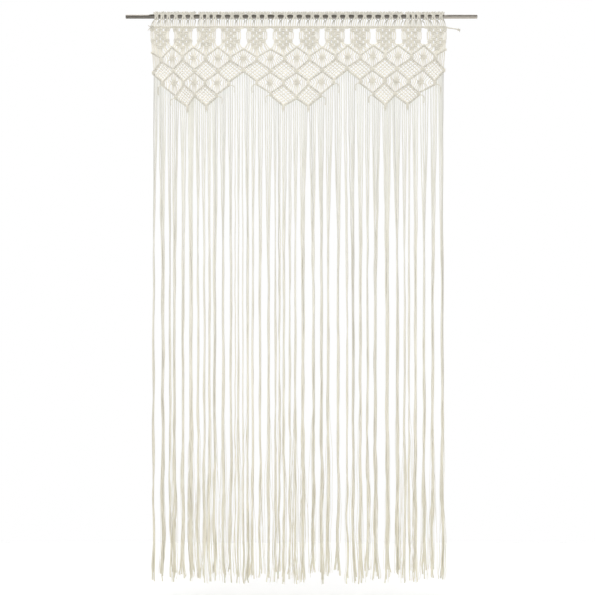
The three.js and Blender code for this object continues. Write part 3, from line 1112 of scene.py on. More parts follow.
@dataclass
class Heading(Part):
    """The heading cord under its row of hitches, with its knot on the left and its tail on the right."""

    seed: int = 12
    radius: float = LEADER_RADIUS
    hitch_length: float = 6.8
    hitch_tone: float = 0.92
    core_step: int = 40
    core_tone: float = 0.88
    core_thickness: float = 2.1
    tail_knot: Spot = (548.0, -45.0)
    left_ends: tuple[Triple, ...] = (
        (-15.0, 1.0, 8.0),
        (-13.5, -1.0, 5.0),
        (-14.0, 0.5, -7.0),
        (-15.5, -0.5, -11.0),
        (-8.0, -1.0, -13.0),
    )
    right_ends: tuple[Triple, ...] = ((8.0, 0.5, -4.0), (6.0, -0.8, -9.0), (8.5, -0.4, 1.0))

    def build(self) -> None:
        """Builds the heading."""
        self.hitches()
        left, right, z = self.chart.heading_left, self.chart.heading_right, self.chart.heading_z
        path = [(left + 2, 0, z)]
        path += [(x, 0, z) for x in range(round(left) + 20, round(right) - 10, self.core_step)]
        path.append((right - 8, 0, z))
        thickness = [self.core_thickness] * len(path) + [1.9, 1.7, 1.5, 1.5]
        path += [(right + 2, 0, z - 1.5), (right + 12, 0.6, -40.0), (530, 1.0, -41.0), (549, 0.5, -45.0)]
        self.cords.add(path, self.core_tone, thickness)
        self.left_knot(left + 6, z - 1.5)
        self.right_knot()
        self.swept("heading_cord")

    def hitches(self) -> None:
        """Ties the hitches, each as wide as its share of the heading."""
        chart, strands = self.chart, range(self.chart.strands_per_motif)
        spots = [chart.heading_strand(motif, strand) for motif in chart.motifs() for strand in strands]
        for before, spot, after, span in neighbours(spots):
            stretch = (after.x - before.x) / span / self.hitch_length
            place = spot + flat((0, self.draw(-0.4, 0.4)))
            tone = self.hitch_tone + self.draw(-0.06, 0.05)
            self.knots.tie(place, self.draw(-0.06, 0.06), (stretch, 1.1, 1.05), tone)
        self.tied("heading_hitches", KnotKind.DOUBLE_HALF_HITCH)

    def left_knot(self, x: float, z: float) -> None:
        """Adds the knot at the heading cord's left end, with its short frayed ends.

        Args:
            x: the x of its middle.
            z: the z of its middle.
        """
        self.cords.add(ring((x, -1, z), 0, 4.6, 5.0, 1.0), 0.74, 1.2, closed=True)
        self.cords.add(ring((x - 3.4, -1, z - 0.5), 0, 4.2, 4.6, -0.8), 0.74, 1.2, closed=True)
        self.cords.add([(x - 6, -4.0, z + 4.5), (x - 1, -6.6, z), (x + 4, -4.0, z - 5)], 0.8, 1.2)
        for dx, dy, dz in self.left_ends:
            middle = (x + dx * 0.6, dy * 2 - 1, z + dz * 0.45)
            self.cords.add([(x, -1, z), middle, (x + dx, dy * 3, z + dz)], 0.84, (1.3, 1.2, 0.6))

    def right_knot(self) -> None:
        """Adds the small knot and the frayed ends of the heading cord's tail."""
        x, z = self.tail_knot
        self.cords.add(ring((x, 0, z), 0, 3.0, 3.6, 0.6), 0.86, 1.2, closed=True)
        for dx, dy, dz in self.right_ends:
            middle = (x + dx * 0.5, dy, z + dz * 0.4)
            self.cords.add([(x, 0, z), middle, (x + dx, dy * 3, z + dz)], 0.88, (1.4, 1.2, 0.6))


def neighbours(spots: list[Vector]) -> list[tuple[Vector, Vector, Vector, int]]:
    """Finds the neighbours of each spot in a row.

    Args:
        spots: the spots.

    Returns:
        For each, the one before, itself, the one after, and how many steps lie between those two.
    """
    last = len(spots) - 1
    rows = [(max(number - 1, 0), number, min(number + 1, last)) for number in range(last + 1)]
    return [(spots[before], spots[at], spots[after], after - before) for before, at, after in rows]


@dataclass
class Shields(Part):
    """Twelve shields of alternating square knots, and their strands down to the first bar.

    They are made one after the other: motif is the number of the one in the making, and pitch is how far
    apart its rows of knots are.
    """

    seed: int = 13
    radius: float = STRAND_RADIUS + 0.25
    motif: int = 0
    pitch: float = 10.4
    pitches: Spot = (9.9, 10.9)
    first_z: float = -45.8
    column_pitch: tuple[float, ...] = (0.0, 0.0, 23.0, 24.5)
    rows: tuple[int, ...] = (3, 2, 1, 2, 3, 2, 1)
    strands_per_knot: int = 4
    reach: tuple[float, ...] = (31.6, 25.4, 19.8, 14.4)
    fan_bow: float = 1.4
    gap_half: float = 11.6
    strand_pitch: float = 3.7
    knot_half: float = 3.6
    knot_tone: float = 0.91
    corner_lift: float = 2.2
    corner_pull: float = 0.94
    loose_strands: int = 3
    strand_tone: float = 0.97
    loose_lift: float = 0.05
    fan_lift: float = 0.07
    fan_thickness: Triple = (1.12, 1.26, 1.15)

    def build(self) -> None:
        """Builds the shields."""
        for self.motif in self.chart.motifs():
            self.pitch = self.draw(*self.pitches)
            self.tie_knots()
            self.lay_strands()
        self.tied("shield_knots", KnotKind.SQUARE_KNOT)
        self.swept("shield_strands")

    def knot_of(self, row: int, strand: int) -> tuple[int, int] | None:
        """Finds the knot that a strand is tied in.

        Args:
            row: the row of knots.
            strand: the strand's number in its motif.

        Returns:
            The knot's number in the row and the strand's in the knot, or None where it hangs free.
        """
        total = self.chart.strands_per_motif
        first = (total - self.strands_per_knot * self.rows[row]) // 2
        if not first <= strand < total - first:
            return None
        return divmod(strand - first, self.strands_per_knot)

    def knot_place(self, row: int, knot: int) -> Vector:
        """Finds the centre of a knot.

        Args:
            row: the row of knots.
            knot: the knot's number in the row.

        Returns:
            The centre.
        """
        count = self.rows[row]
        across = (knot - (count - 1) / 2) * self.column_pitch[count] if count > 1 else 0.0
        place = flat((MOTIFS[self.motif].shield + across, self.first_z - row * self.pitch))
        if row and count == self.rows[0] and knot != count // 2:
            place += flat((across * (self.corner_pull - 1), self.corner_lift))
        return place

    def squeeze(self, left: bool) -> float:
        """Finds how close the loose strands hang on one side, as the neighbour there leaves room.

        Args:
            left: whether the left side is meant.

        Returns:
            The share of their full reach.
        """
        other = self.motif - 1 if left else self.motif + 1
        if other not in self.chart.motifs():
            return 1.0
        room = abs(MOTIFS[self.motif].shield - MOTIFS[other].shield) / 2 - self.gap_half
        return room / self.reach[0]

    def tie_knots(self) -> None:
        """Ties the knots, which are each a little off their place."""
        for row, count in enumerate(self.rows):
            for knot in range(count):
                spot = self.knot_place(row, knot) + flat((self.draw(-1.2, 1.2), self.draw(-0.8, 0.8)))
                size = (self.draw(1.22, 1.36), 1.0, self.draw(1.55, 1.72))
                tone = self.knot_tone + self.draw(-0.05, 0.05)
                self.knots.tie(spot, self.draw(-0.18, 0.18), size, tone)

    def lay_strands(self) -> None:
        """Adds the strands, which are lighter where they hang loose and in the fan below the knots."""
        total, fan = self.chart.strands_per_motif, len(self.fan_thickness)
        for strand in range(total):
            tone = self.strand_tone + self.draw(-0.05, 0.05)
            path = self.route(strand)
            above = len(path) - fan
            loose = min(strand, total - 1 - strand) < self.loose_strands
            tones = [tone + (self.loose_lift if loose else 0.0)] * above + [tone + self.fan_lift] * fan
            self.cords.add(path, tones, [1.0] * above + list(self.fan_thickness))

    def route(self, strand: int) -> list[Vector]:
        """Lays a strand from the heading, through its knots, to its hitch on the first bar.

        Beside a row that it isn't tied in, it bows outwards past the knots.

        Args:
            strand: the strand's number in its motif.

        Returns:
            The strand's path.
        """
        left = strand < self.chart.strands_per_leg
        number, out = (strand, -1) if left else (self.chart.strands_per_motif - 1 - strand, 1)
        start = self.chart.heading_strand(self.motif, strand)
        path = [start, start + flat((0, -self.knot_half))]
        tied_rows = [row for row in range(len(self.rows)) if self.knot_of(row, strand)]
        for row in range(tied_rows[-1] + 1):
            found = self.knot_of(row, strand)
            if found is None:
                reach = self.reach[number] * self.squeeze(left) + self.draw(-0.4, 0.4)
                x, z = MOTIFS[self.motif].shield + out * reach, self.knot_place(row, 0).z
                path.append(Vector((x, self.draw(-1.2, 1.2), z)))
                continue
            spot = self.knot_place(row, found[0])
            spot.x += (found[1] - (self.strands_per_knot - 1) / 2) * self.strand_pitch
            path += [spot + flat((0, self.knot_half)), spot - flat((0, self.knot_half))]
        corner = self.chart.crest(self.motif if left else self.motif + 1)
        end = self.chart.leg(corner, self.chart.under(self.motif).upper)[number]
        bow = -out * self.fan_bow if number else 0.0
        return [*path, path[-1].lerp(end, 0.5) + flat((bow, 0)), end + Vector((0, -0.8, 4.0)), end]


@dataclass
class Lattice(Part):
    """The bars of double half hitches, with the crossings at their nodes and their cords' ends."""

    seed: int = 14
    radius: float = LEADER_RADIUS
    step: float = 6.0
    hitch_length: float = 8.6
    hitch_tone: float = 0.89
    leader_tone: float = 0.95
    tall: Triple = (1.08, 1.1, 1.08)
    short: Triple = (1.0, 1.1, 0.9)
    small: Triple = (0.7, 0.9, 0.6)
    tip_size: Triple = (1.0, 1.1, 1.1)
    tip_height: float = 9.0
    end_tone: float = 0.93
    tip_ends: tuple[Spot, ...] = ((-1.0, 15.0), (1.0, 18.0), (-0.3, 21.5))

    def build(self) -> None:
        """Builds the bars."""
        for route in self.chart.leaders():
            path = [route[0]]
            for start, end in zip(route, route[1:]):
                spots = self.chart.leg(start, end)
                path += [*spots, end]
                self.leg(spots)
            self.cords.add(path, self.leader_tone)
        self.tied("bar_hitches", KnotKind.DOUBLE_HALF_HITCH)
        self.ends()
        self.swept("leader_cords")
        self.crossings()
        self.tied("node_knots", KnotKind.CROSSING)

    def leg(self, spots: list[Vector]) -> None:
        """Ties the hitches of one leg, each along the bar and as wide as its share of it.

        Args:
            spots: where they are tied, from one end of the leg to the other.
        """
        for before, spot, after, span in neighbours(spots):
            stretch = (after - before).length / span / self.hitch_length
            tone = self.hitch_tone + self.draw(-0.08, 0.06)
            turn = level_turn(before, after) + self.draw(-0.14, 0.14)
            self.knots.tie(spot, turn, (stretch, 1.0, 1.03), tone)

    def crossings(self) -> None:
        """Ties the knot at each node where two bars meet."""
        chart, lines = self.chart, range(len(LINES))
        places = [(chart.crest(line), chart.crest(line), self.small, 0.3) for line in lines]
        for motif in chart.motifs():
            places += [(*chart.under(motif), self.tall, 0.1), (*chart.foot(motif), self.tall, 0.1)]
        places += [(*chart.middle(line), self.short, 0.1) for line in lines]
        for scallop in SCALLOPS:
            places += [(*chart.low(line), self.short, 0.2) for line in scallop.lines()]
            for tip in (chart.tip(motif) for motif in scallop.tips()):
                places.append((tip, tip - flat((0, self.tip_height)), self.tip_size, 0.2))
        for upper, lower, size, sway in places:
            middle = upper.lerp(lower, 0.5) + Vector((0, -0.3, 0))
            self.knots.tie(middle, self.draw(-sway, sway), size, 1.0 + self.draw(-0.06, 0.05))

    def ends(self) -> None:
        """Adds the leader cords' ends, which stick out of the border's nodes and hang."""
        for scallop in SCALLOPS:
            first, last = scallop.first, scallop.last()
            for find, left, right in ((self.chart.low, first + 1, last), (self.chart.foot, first, last)):
                self.loose_end(find(left).lower, -1)
                self.loose_end(find(right).lower, 1)
            for tip in (self.chart.tip(motif) for motif in scallop.tips()):
                for side, drop in self.tip_ends:
                    course = ((0.0, 0.0, 0.0), (side * 2.4, -3.0, -8.0), (side * 4.0, -3.4, -drop))
                    path = [tip + Vector(away) for away in course]
                    self.cords.add(path, self.end_tone, (1.2, 1.2, 0.7))

    def loose_end(self, root: Vector, side: int) -> None:
        """Adds an end that sticks out of a side node and hangs.

        Args:
            root: the lower end of the node.
            side: -1 where it sticks out to the left, 1 to the right.
        """
        reach, drop = self.draw(13, 19), self.draw(24, 38)
        course = (
            (0.0, 0.0, 0.0),
            (reach * 0.5, -2.5, 0.5),
            (reach, -4.0, -3.5),
            (reach + 2.5, -4.2, -drop * 0.45),
            (reach + 1.0, -4.0, -drop),
        )
        path = [root + Vector((side * out, y, z)) for out, y, z in course]
        self.cords.add(path, self.end_tone, (1.1, 1.15, 1.15, 1.1, 0.9))


@dataclass
class Nets(Part):
    """The woven nets, in which the strands cross over and under each other."""

    seed: int = 15
    radius: float = 1.85
    step: float = 3.2
    weave: float = 1.8
    wander: float = 0.5

    def build(self) -> None:
        """Builds the nets."""
        count = self.chart.strands_per_leg
        shares = [(number + 0.5) / count for number in range(count)]
        for cell in self.chart.nets():
            upper_left, upper_right, lower_left, lower_right = cell.sides()
            for number, share in enumerate(shares):
                for side, start, end in ((-1, upper_left, lower_right), (1, upper_right, lower_left)):
                    wander = self.wander
                    stray = flat((self.draw(-wander, wander), self.draw(-wander, wander)))
                    path = [start[0].lerp(start[1], share)]
                    for other, crossing in enumerate(shares):
                        over = side * self.weave * (1 if (number + other) % 2 else -1)
                        place = cell.place(share, crossing) if side < 0 else cell.place(crossing, share)
                        path.append(place + stray + Vector((0, over, 0)))
                    path.append(end[0].lerp(end[1], share))
                    self.cords.add(path, 1.0 + 0.02 * number + self.draw(-0.05, 0.05))
        self.swept("nets")


@dataclass
class Flowers(Part):
    """The gathered flowers, and the strands that hang free at the curtain's edges.

    Of a flower's twelve strands the inner six are drawn together in two half knots. The next ones on each
    side bow past them, and the outermost hangs along the side node.
    """

    seed: int = 16
    radius: float = STRAND_RADIUS - 0.1
    bundle: float = 9.4
    bundle_share: float = 0.46
    gate: float = 5.4
    depth: float = 1.6
    bow: float = 0.1
    reach: tuple[float, ...] = (33.0, 26.2, 18.2)
    wander: tuple[float, ...] = (1.0, 1.5, 2.5)
    tone: float = 1.06
    # Painted shade: the strands are toned darker where they gather into the knots, most on the arms round
    # them
    drawn_painted_shade: tuple[float, ...] = (1.0, 1.0, 0.93, 0.93, 1.0, 1.0)
    arm_painted_shade: tuple[float, ...] = (1.0, 1.0, 0.9, 0.82, 0.82, 0.9, 1.0, 1.0)
    arms: tuple[Spot, ...] = ((1.6, 10.0), (1.3, 6.0), (0.95, 2.2), (0.95, -2.2), (1.3, -6.0), (1.6, -10.0))
    knot_size: Triple = (1.56, 1.15, 0.86)
    knot_rise: float = 2.6
    knot_tone: float = 0.99

    def build(self) -> None:
        """Builds the flowers."""
        for cell in self.chart.flowers():
            self.flower(cell)
        self.edge_strands()
        self.swept("flower_strands")
        self.tied("flower_knots", KnotKind.SQUARE_KNOT)

    def flower(self, cell: Cell) -> None:
        """Adds one flower, with a knotting strand on each side that turns round the ones between.

        Args:
            cell: the cell that holds it.
        """
        height = sum(end.z for end in (*cell.left, *cell.right)) / 4
        centre = flat(((cell.top.x + cell.bottom.x) / 2 + self.draw(-1.5, 1.5), height + 1.5))
        leg = self.chart.leg
        upper = leg(cell.left.upper, cell.top) + leg(cell.top, cell.right.upper)
        lower = leg(cell.left.lower, cell.bottom) + leg(cell.bottom, cell.right.lower)
        total = len(upper)
        for number, (start, end) in enumerate(zip(upper, lower)):
            depth = self.depth * (-1 if number % 2 else 1)
            tone = self.tone + self.draw(-0.06, 0.05)
            rank = min(number, total - 1 - number)
            if rank < len(self.reach):
                side, wander = -1 if number < total / 2 else 1, self.wander[rank]
                x = centre.x + side * (self.reach[rank] + self.draw(-wander, wander))
                self.cords.add([start, Vector((x, depth, start.lerp(end, 0.5).z)), end], tone)
                continue
            across = (number / (total - 1) - 0.5) * 2 * self.bundle / self.bundle_share
            if rank == len(self.reach):
                path = [centre + Vector((across * share, depth - 1.5, z)) for share, z in self.arms]
                tones = self.arm_painted_shade
            else:
                gate, out = (centre + Vector((across, depth, z)) for z in (self.gate, -self.gate))
                bow = Vector((across * self.bow, depth * 0.5, 0))
                path = [start.lerp(gate, 0.5) + bow, gate, out, out.lerp(end, 0.5) + bow]
                tones = self.drawn_painted_shade
            self.cords.add([start, *path, end], [tone * share for share in tones])
        for half in (-1, 1):
            spot = centre + flat((half * self.draw(-1.5, 2.0), half * self.knot_rise))
            turn = self.draw(-0.35, 0.35)
            self.knots.tie(spot, turn, self.knot_size, self.knot_tone + self.draw(-0.06, 0.05))

    def edge_strands(self) -> None:
        """Adds the strands that hang straight between the bars at the curtain's two edges."""
        chart, last = self.chart, len(MOTIFS) - 1
        for line, motif in ((0, 0), (last + 1, last)):
            upper = chart.leg(chart.crest(line), chart.under(motif).upper)
            lower = chart.leg(chart.middle(line).upper, chart.under(motif).lower)
            for start, end in zip(upper, lower):
                sway = Vector((self.draw(-1, 1), self.draw(-1, 1), 0))
                self.cords.add([start, start.lerp(end, 0.5) + sway, end], 1.0 + self.draw(-0.03, 0.03))


def limited(value: float) -> float:
    """Returns a value, or 0 or 1 where it is outside them."""
    return min(1.0, max(0.0, value))


@dataclass
class Bunch:
    """Strands of the fringe that hang together, slowly turning round each other."""

    x: float
    roots: list[Vector]
    chance: random.Random
    spacing: float = 2.0
    widest: float = 4.3
    turn_length: float = 1400.0
    loose_z: float = -1300.0
    loosening: float = 500.0
    looser: float = 1.8
    flatness: float = 0.75

    def __post_init__(self) -> None:
        """Draws the bunch's own slow wave and turn."""
        draw = self.chance.uniform
        self.wave, self.wave_length, self.phase = draw(0.4, 1.0), draw(260, 620), draw(0, math.tau)
        self.turn = self.chance.choice((-1, 1)) * math.tau / (self.turn_length * draw(0.7, 1.5))

    def centre(self, z: float) -> float:
        """Returns the x of the bunch's middle at a height."""
        looseness = 1 + self.looser * limited((self.loose_z - z) / self.loosening)
        return self.x + self.wave * looseness * math.sin(math.tau * z / self.wave_length + self.phase)

    def member(self, number: int, z: float) -> Vector:
        """Finds one of the bunch's strands at a height, where it is wholly gathered.

        Args:
            number: the strand's number in the bunch.
            z: the height.

        Returns:
            The strand's place.
        """
        count = len(self.roots)
        angle = math.tau * number / count + self.turn * z + self.phase
        reach = 0.0 if count == 1 else min(self.spacing / math.sin(math.pi / count), self.widest)
        y = self.flatness * reach * math.cos(angle)
        return Vector((self.centre(z) + reach * math.sin(angle), y, z))


@dataclass
class Fringe(Part):
    """One scallop's fringe: the strands' free ends, which gather in loose bunches."""

    seed: int = 31
    sides: int = 8
    step: float = 16.0
    scallop: Scallop = SCALLOPS[0]
    gather: tuple[Spot, ...] = ((-420.0, 0.2), (-560.0, 0.42), (-720.0, 0.68), (-900.0, 0.9), (-1200.0, 1.0))
    end_z: float = -1934.0
    end_spread: float = 52.0
    splay: float = 5.0
    splay_length: float = 120.0
    level: float = 85.0
    start_step: float = 40.0
    end_step: float = 26.0
    sway: Spot = (0.3, 1.0)
    sway_length: Spot = (90.0, 210.0)
    freeing: float = 200.0
    loose_z: float = -1200.0
    loosening: float = 500.0
    looser: float = 1.5
    dark_share: float = 0.12
    dark_tone: float = 0.88
    plies: int = 2
    ply_top: Spot = (-1250.0, -1600.0)
    ply_share: float = 0.3
    ply_drift: float = 7.0

    def __post_init__(self) -> None:
        """Gives each scallop's fringe a seed of its own."""
        self.seed += self.scallop.first
        super().__post_init__()

    def build(self) -> None:
        """Builds the fringe."""
        legs = self.chart.border(self.scallop)
        gathered: dict[float, list[Vector]] = {place: [] for place in self.scallop.bunches}
        for root in (root for start, end in legs for root in self.chart.leg(start, end)):
            gathered[min(gathered, key=lambda place: abs(place - root.x))].append(root)
        for place, members in gathered.items():
            bunch = Bunch(place, members, self.chance)
            for number in range(len(members)):
                tone = self.dark_tone if self.chance.random() < self.dark_share else 1.0
                path = self.strand(bunch, number)
                self.cords.add(path, tone * (1.0 + self.chance.gauss(0, 0.03)))
                for _ in range(self.plies):
                    self.ply(path)
        side = self.scallop.side
        piece = self.cords.build(f"fringe_strands_{side}", self.shop.cord_tree, self.shop.fringe_cotton)
        dressed(piece, f"fringe_{side}")

    def ply(self, path: list[Vector]) -> None:
        """Adds a fine ply that has come loose from a strand and hangs beside it down to its end.

        Args:
            path: the strand's path.
        """
        start, drift = self.draw(*self.ply_top), self.chance.gauss(0, self.ply_drift)
        places = []
        for number, point in enumerate(point for point in path if point.z < start):
            away = drift * min(1.0, number / 3) + self.draw(-1.2, 1.2)
            places.append(point + Vector((away, self.draw(-2.0, 2.0), self.draw(-4.0, 4.0))))
        self.cords.add(places, 1.0, self.ply_share)

    def share(self, root_z: float, z: float) -> float:
        """Finds how far a strand has joined its bunch.

        Args:
            root_z: the height at which the strand starts.
            z: the height that is asked for.

        Returns:
            0 where it hangs on its own, up to 1 where it is wholly gathered.
        """
        before, share = root_z, 0.0
        for level, reached in self.gather:
            if z >= level:
                return share + (reached - share) * (before - z) / (before - level)
            before, share = level, reached
        return 1.0

    def strand(self, bunch: Bunch, number: int) -> list[Vector]:
        """Lays one strand, with its own small waves and a splayed end.

        Args:
            bunch: the bunch that it joins.
            number: its number in the bunch.

        Returns:
            The strand's path.
        """
        root = bunch.roots[number]
        end = self.end_z - self.end_spread * self.chance.random()
        swing, length, phase = self.draw(*self.sway), self.draw(*self.sway_length), self.draw(0, math.tau)
        splay = self.chance.gauss(0, self.splay)
        levels = [root.z - self.start_step]
        while levels[-1] > end + self.level:
            levels.append(levels[-1] - self.level * self.draw(0.85, 1.15))
        levels = [z for z in levels if z > end + self.start_step] + [end + self.end_step, end]
        path = [root, root + Vector((0, -0.4, -6))]
        for z in levels:
            share, place = self.share(root.z, z), bunch.member(number, z)
            free = min(1.0, (root.z - z) / self.freeing)
            free += self.looser * limited((self.loose_z - z) / self.loosening)
            angle = math.tau * z / length + phase
            x = root.x + (place.x - root.x) * share + free * swing * math.sin(angle)
            x += splay * max(0.0, 1 - (z - end) / self.splay_length) ** 2
            path.append(Vector((x, place.y * share + free * swing * math.cos(angle), z)))
        return path


@dataclass
class Rod:
    """The plain round rod, with a small chamfer at each end."""

    finish: bpy.types.Material
    sides: int = 48
    chamfer: float = 0.9

    def build(self) -> None:
        """Builds the rod where the frame has it."""
        low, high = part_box("rod")
        radius, cut = (high.z - low.z) / 2, self.chamfer * METRES
        stations = (
            (low.x, radius - cut),
            (low.x + cut, radius),
            (high.x - cut, radius),
            (high.x, radius - cut),
        )
        turns = [math.tau * side / self.sides for side in range(self.sides)]
        circle = [(math.cos(turn), math.sin(turn)) for turn in turns]
        points = [(x, reach * y, reach * z) for x, reach in stations for y, z in circle]
        first, last = range(self.sides), range(len(points) - self.sides, len(points))
        faces = []
        for row in range(0, last.start, self.sides):
            for side in first:
                one, other = row + side, row + (side + 1) % self.sides
                faces.append((one, other, other + self.sides, one + self.sides))
        faces += [tuple(reversed(first)), tuple(last)]
        mesh = bpy.data.meshes.new("rod_tube")
        mesh.from_pydata(points, [], faces)
        mesh.shade_smooth()
        mesh.set_sharp_from_angle(angle=math.radians(30))
        mesh.materials.append(self.finish)
        dressed(placed("rod_tube", mesh), "rod")


def twist_group() -> Tree:
    """Makes the shader group of a cord that is laid from twisted plies.

    Returns:
        The group. Height is for a bump, Groove is 1 between two plies and Fibre is fine and uneven.
    """
    inputs = {
        "Plies": ("NodeSocketFloat", 3.0),
        "Pitch": ("NodeSocketFloat", 0.004),
        "Fibres": ("NodeSocketFloat", 160.0),
    }
    outputs = {"Height": "NodeSocketFloat", "Groove": "NodeSocketFloat", "Fibre": "NodeSocketFloat"}
    tree = new_group("Twisted plies", "ShaderNodeTree", inputs, outputs)
    board = Board(tree)
    given = board.add("NodeGroupInput").outputs
    place = board.split(board.out("ShaderNodeUVMap", {}, uv_map=UV_NAME))
    turns = board.math("DIVIDE", place["Y"], board.math("MULTIPLY", given["Pitch"], given["Plies"]))
    angle = board.math("ADD", place["X"], turns)
    ply = board.math("FRACT", board.math("MULTIPLY", angle, given["Plies"]))
    height = board.math("SINE", board.math("MULTIPLY", ply, math.pi))
    radians = board.math("MULTIPLY", angle, math.tau)
    around = board.vector(
        board.math("MULTIPLY", board.math("COSINE", radians), 4.0),
        board.math("MULTIPLY", board.math("SINE", radians), 4.0),
        board.math("MULTIPLY", place["Y"], given["Fibres"]),
    )
    fibre = board.noise(around, 1.0, 4.0)
    results = {
        "Height": board.math("MULTIPLY_ADD", fibre, 0.35, height),
        "Groove": board.ramp(height, (0.0, 0.5), (1.0, 0.0)),
        "Fibre": fibre,
    }
    board.add("NodeGroupOutput", results)
    return tree


def new_material(name: str) -> tuple[bpy.types.Material, Board, bpy.types.NodeInputs]:
    """Makes a material.

    Args:
        name: its name.

    Returns:
        The material, the board of its nodes and the inputs of its shader.
    """
    material = bpy.data.materials.new(name)
    material.use_nodes = True
    tree = material.node_tree
    return material, Board(tree), tree.nodes["Principled BSDF"].inputs


@dataclass(frozen=True)
class Cotton:
    """Matt natural cotton cord, which is a little duller towards its lower ends."""

    name: str
    light: Triple
    shade: Triple
    low_tint: Triple
    high: float = -0.35
    low: float = -1.9
    cloud_scale: float = 9.0
    cloud_share: float = 0.16
    groove_shade_share: float = 0.3
    fibre_share: float = 0.12
    roughness: float = 0.88
    sheen: float = 0.05
    specular: float = 0.25
    bump: float = 0.0004

    def material(self, twist: Tree) -> bpy.types.Material:
        """Makes the material.

        Args:
            twist: the shader group of twisted plies.

        Returns:
            The material.
        """
        material, board, shader = new_material(self.name)
        plies = board.add("ShaderNodeGroup", node_tree=twist).outputs
        tone = board.add("ShaderNodeAttribute", attribute_name="tone").outputs["Fac"]
        where = board.add("ShaderNodeTexCoord").outputs["Object"]
        cloud = board.math("MULTIPLY", board.noise(where, self.cloud_scale, 2.0), self.cloud_share)
        # Painted shade in the grooves between the plies, with a random cloudy tone, mixes in the shade
        # colour
        groove_shade_and_cloud = board.math("MULTIPLY_ADD", plies["Groove"], self.groove_shade_share, cloud)
        uneven = board.math("MULTIPLY_ADD", plies["Fibre"], self.fibre_share, groove_shade_and_cloud)
        colour = board.mix(uneven, (*self.light, 1.0), (*self.shade, 1.0))
        lowness = board.ramp(board.split(where)["Z"], (self.high, self.low))
        dulled = board.mix(lowness, board.scaled(colour, tone), (*self.low_tint, 1.0), "MULTIPLY")
        board.feed(dulled, shader["Base Color"])
        rough = board.math("MULTIPLY_ADD", plies["Fibre"], 0.1, self.roughness - 0.05)
        board.feed(rough, shader["Roughness"])
        board.feed(board.bump(plies["Height"], 0.8, self.bump), shader["Normal"])
        shader["Sheen Weight"].default_value = self.sheen
        shader["Specular IOR Level"].default_value = self.specular
        return material


@dataclass(frozen=True)
class Pewter:
    """Dull, drawn grey metal, with its light painted on: dark along its front and paler below, as painted
    reflections, and towards one end its lower half painted paler still and its top darker.

    Its levels are how light it is at some heights, from 0 at the rod's lowest to 1 at its highest line, and
    so paint a highlight along its top. Where the loops hang, within a half length of a middle, it is
    painted lighter, more so on its top, against the shade that the loops cast there.
    """

    name: str
    tint: Triple
    levels: tuple[Spot, ...] = (
        (0.0, 0.2),
        (0.2, 0.215),
        (0.36, 0.25),
        (0.47, 0.05),
        (0.64, 0.03),
        (0.75, 0.22),
        (0.86, 0.34),
        (1.0, 0.7),
    )
    radius: float = 0.007
    drawn: Triple = (6.0, 900.0, 900.0)
    patch_scale: float = 30.0
    painted_light_middle: float = -0.011
    painted_light_half: float = 0.5
    painted_light_fade: float = 0.025
    painted_light_from: Spot = (0.62, 0.8)
    painted_light: Spot = (0.22, 1.05)
    painted_end_from: Spot = (0.4, 0.52)
    painted_end_light: Spot = (0.4, -0.22)
    roughness: float = 0.36

    def material(self) -> bpy.types.Material:
        """Makes the material, with fine marks along the rod.

        Returns:
            The material.
        """
        material, board, shader = new_material(self.name)
        where = board.add("ShaderNodeTexCoord").outputs["Object"]
        axes = board.split(where)
        drawn = board.out("ShaderNodeMapping", {"Vector": where, "Scale": self.drawn})
        marks, patches = board.noise(drawn, 1.0, 5.0), board.noise(where, self.patch_scale, 3.0)
        uneven = board.math("MULTIPLY_ADD", marks, 0.3, board.math("MULTIPLY_ADD", patches, 0.2, -0.25))
        height = board.ramp(axes["Z"], (-self.radius, self.radius))
        # Painted highlight, dark band and reflections by height, from the levels
        painted_reflection = self.painted_reflection(board, board.math("MULTIPLY_ADD", uneven, 0.25, height))
        away = board.math("ABSOLUTE", board.math("SUBTRACT", axes["X"], self.painted_light_middle))
        # Painted light under the loops, against the shade that they cast on the rod
        under_loops = board.ramp(away, (self.painted_light_half + self.painted_light_fade, self.painted_light_half))
        painted_light = board.math("MULTIPLY", under_loops, board.ramp(height, self.painted_light_from, self.painted_light))
        painted_reflection = board.math("MULTIPLY_ADD", painted_reflection, painted_light, painted_reflection)
        # Painted reflection towards the right end: the lower half paler, the top darker
        end = board.ramp(axes["X"], self.painted_end_from)
        light = board.math("MULTIPLY_ADD", board.ramp(height, (0.0, 1.0), self.painted_end_light), end, painted_reflection)
        board.feed(board.scaled(self.tint, light), shader["Base Color"])
        board.feed(board.math("MULTIPLY_ADD", marks, 0.2, self.roughness - 0.1), shader["Roughness"])
        board.feed(board.bump(marks, 0.35, 0.0002), shader["Normal"])
        shader["Metallic"].default_value = 1.0
        return material

    def painted_reflection(self, board: Board, height: Socket) -> Socket:
        """Adds how light the metal is, as its levels say: its painted highlight, dark band and reflections.

        Args:
            board: the board of the material's nodes.
            height: the height on the rod, from 0 to 1.

        Returns:
            The lightness there.
        """
        ramp = board.add("ShaderNodeValToRGB", {0: height})
        stops = ramp.color_ramp.elements
        while len(stops) > 1:
            stops.remove(stops[-1])
        for number, (position, light) in enumerate(self.levels):
            stop = stops.new(position) if number else stops[0]
            stop.position = position
            stop.color = (light, light, light, 1.0)
        return ramp.outputs["Color"]


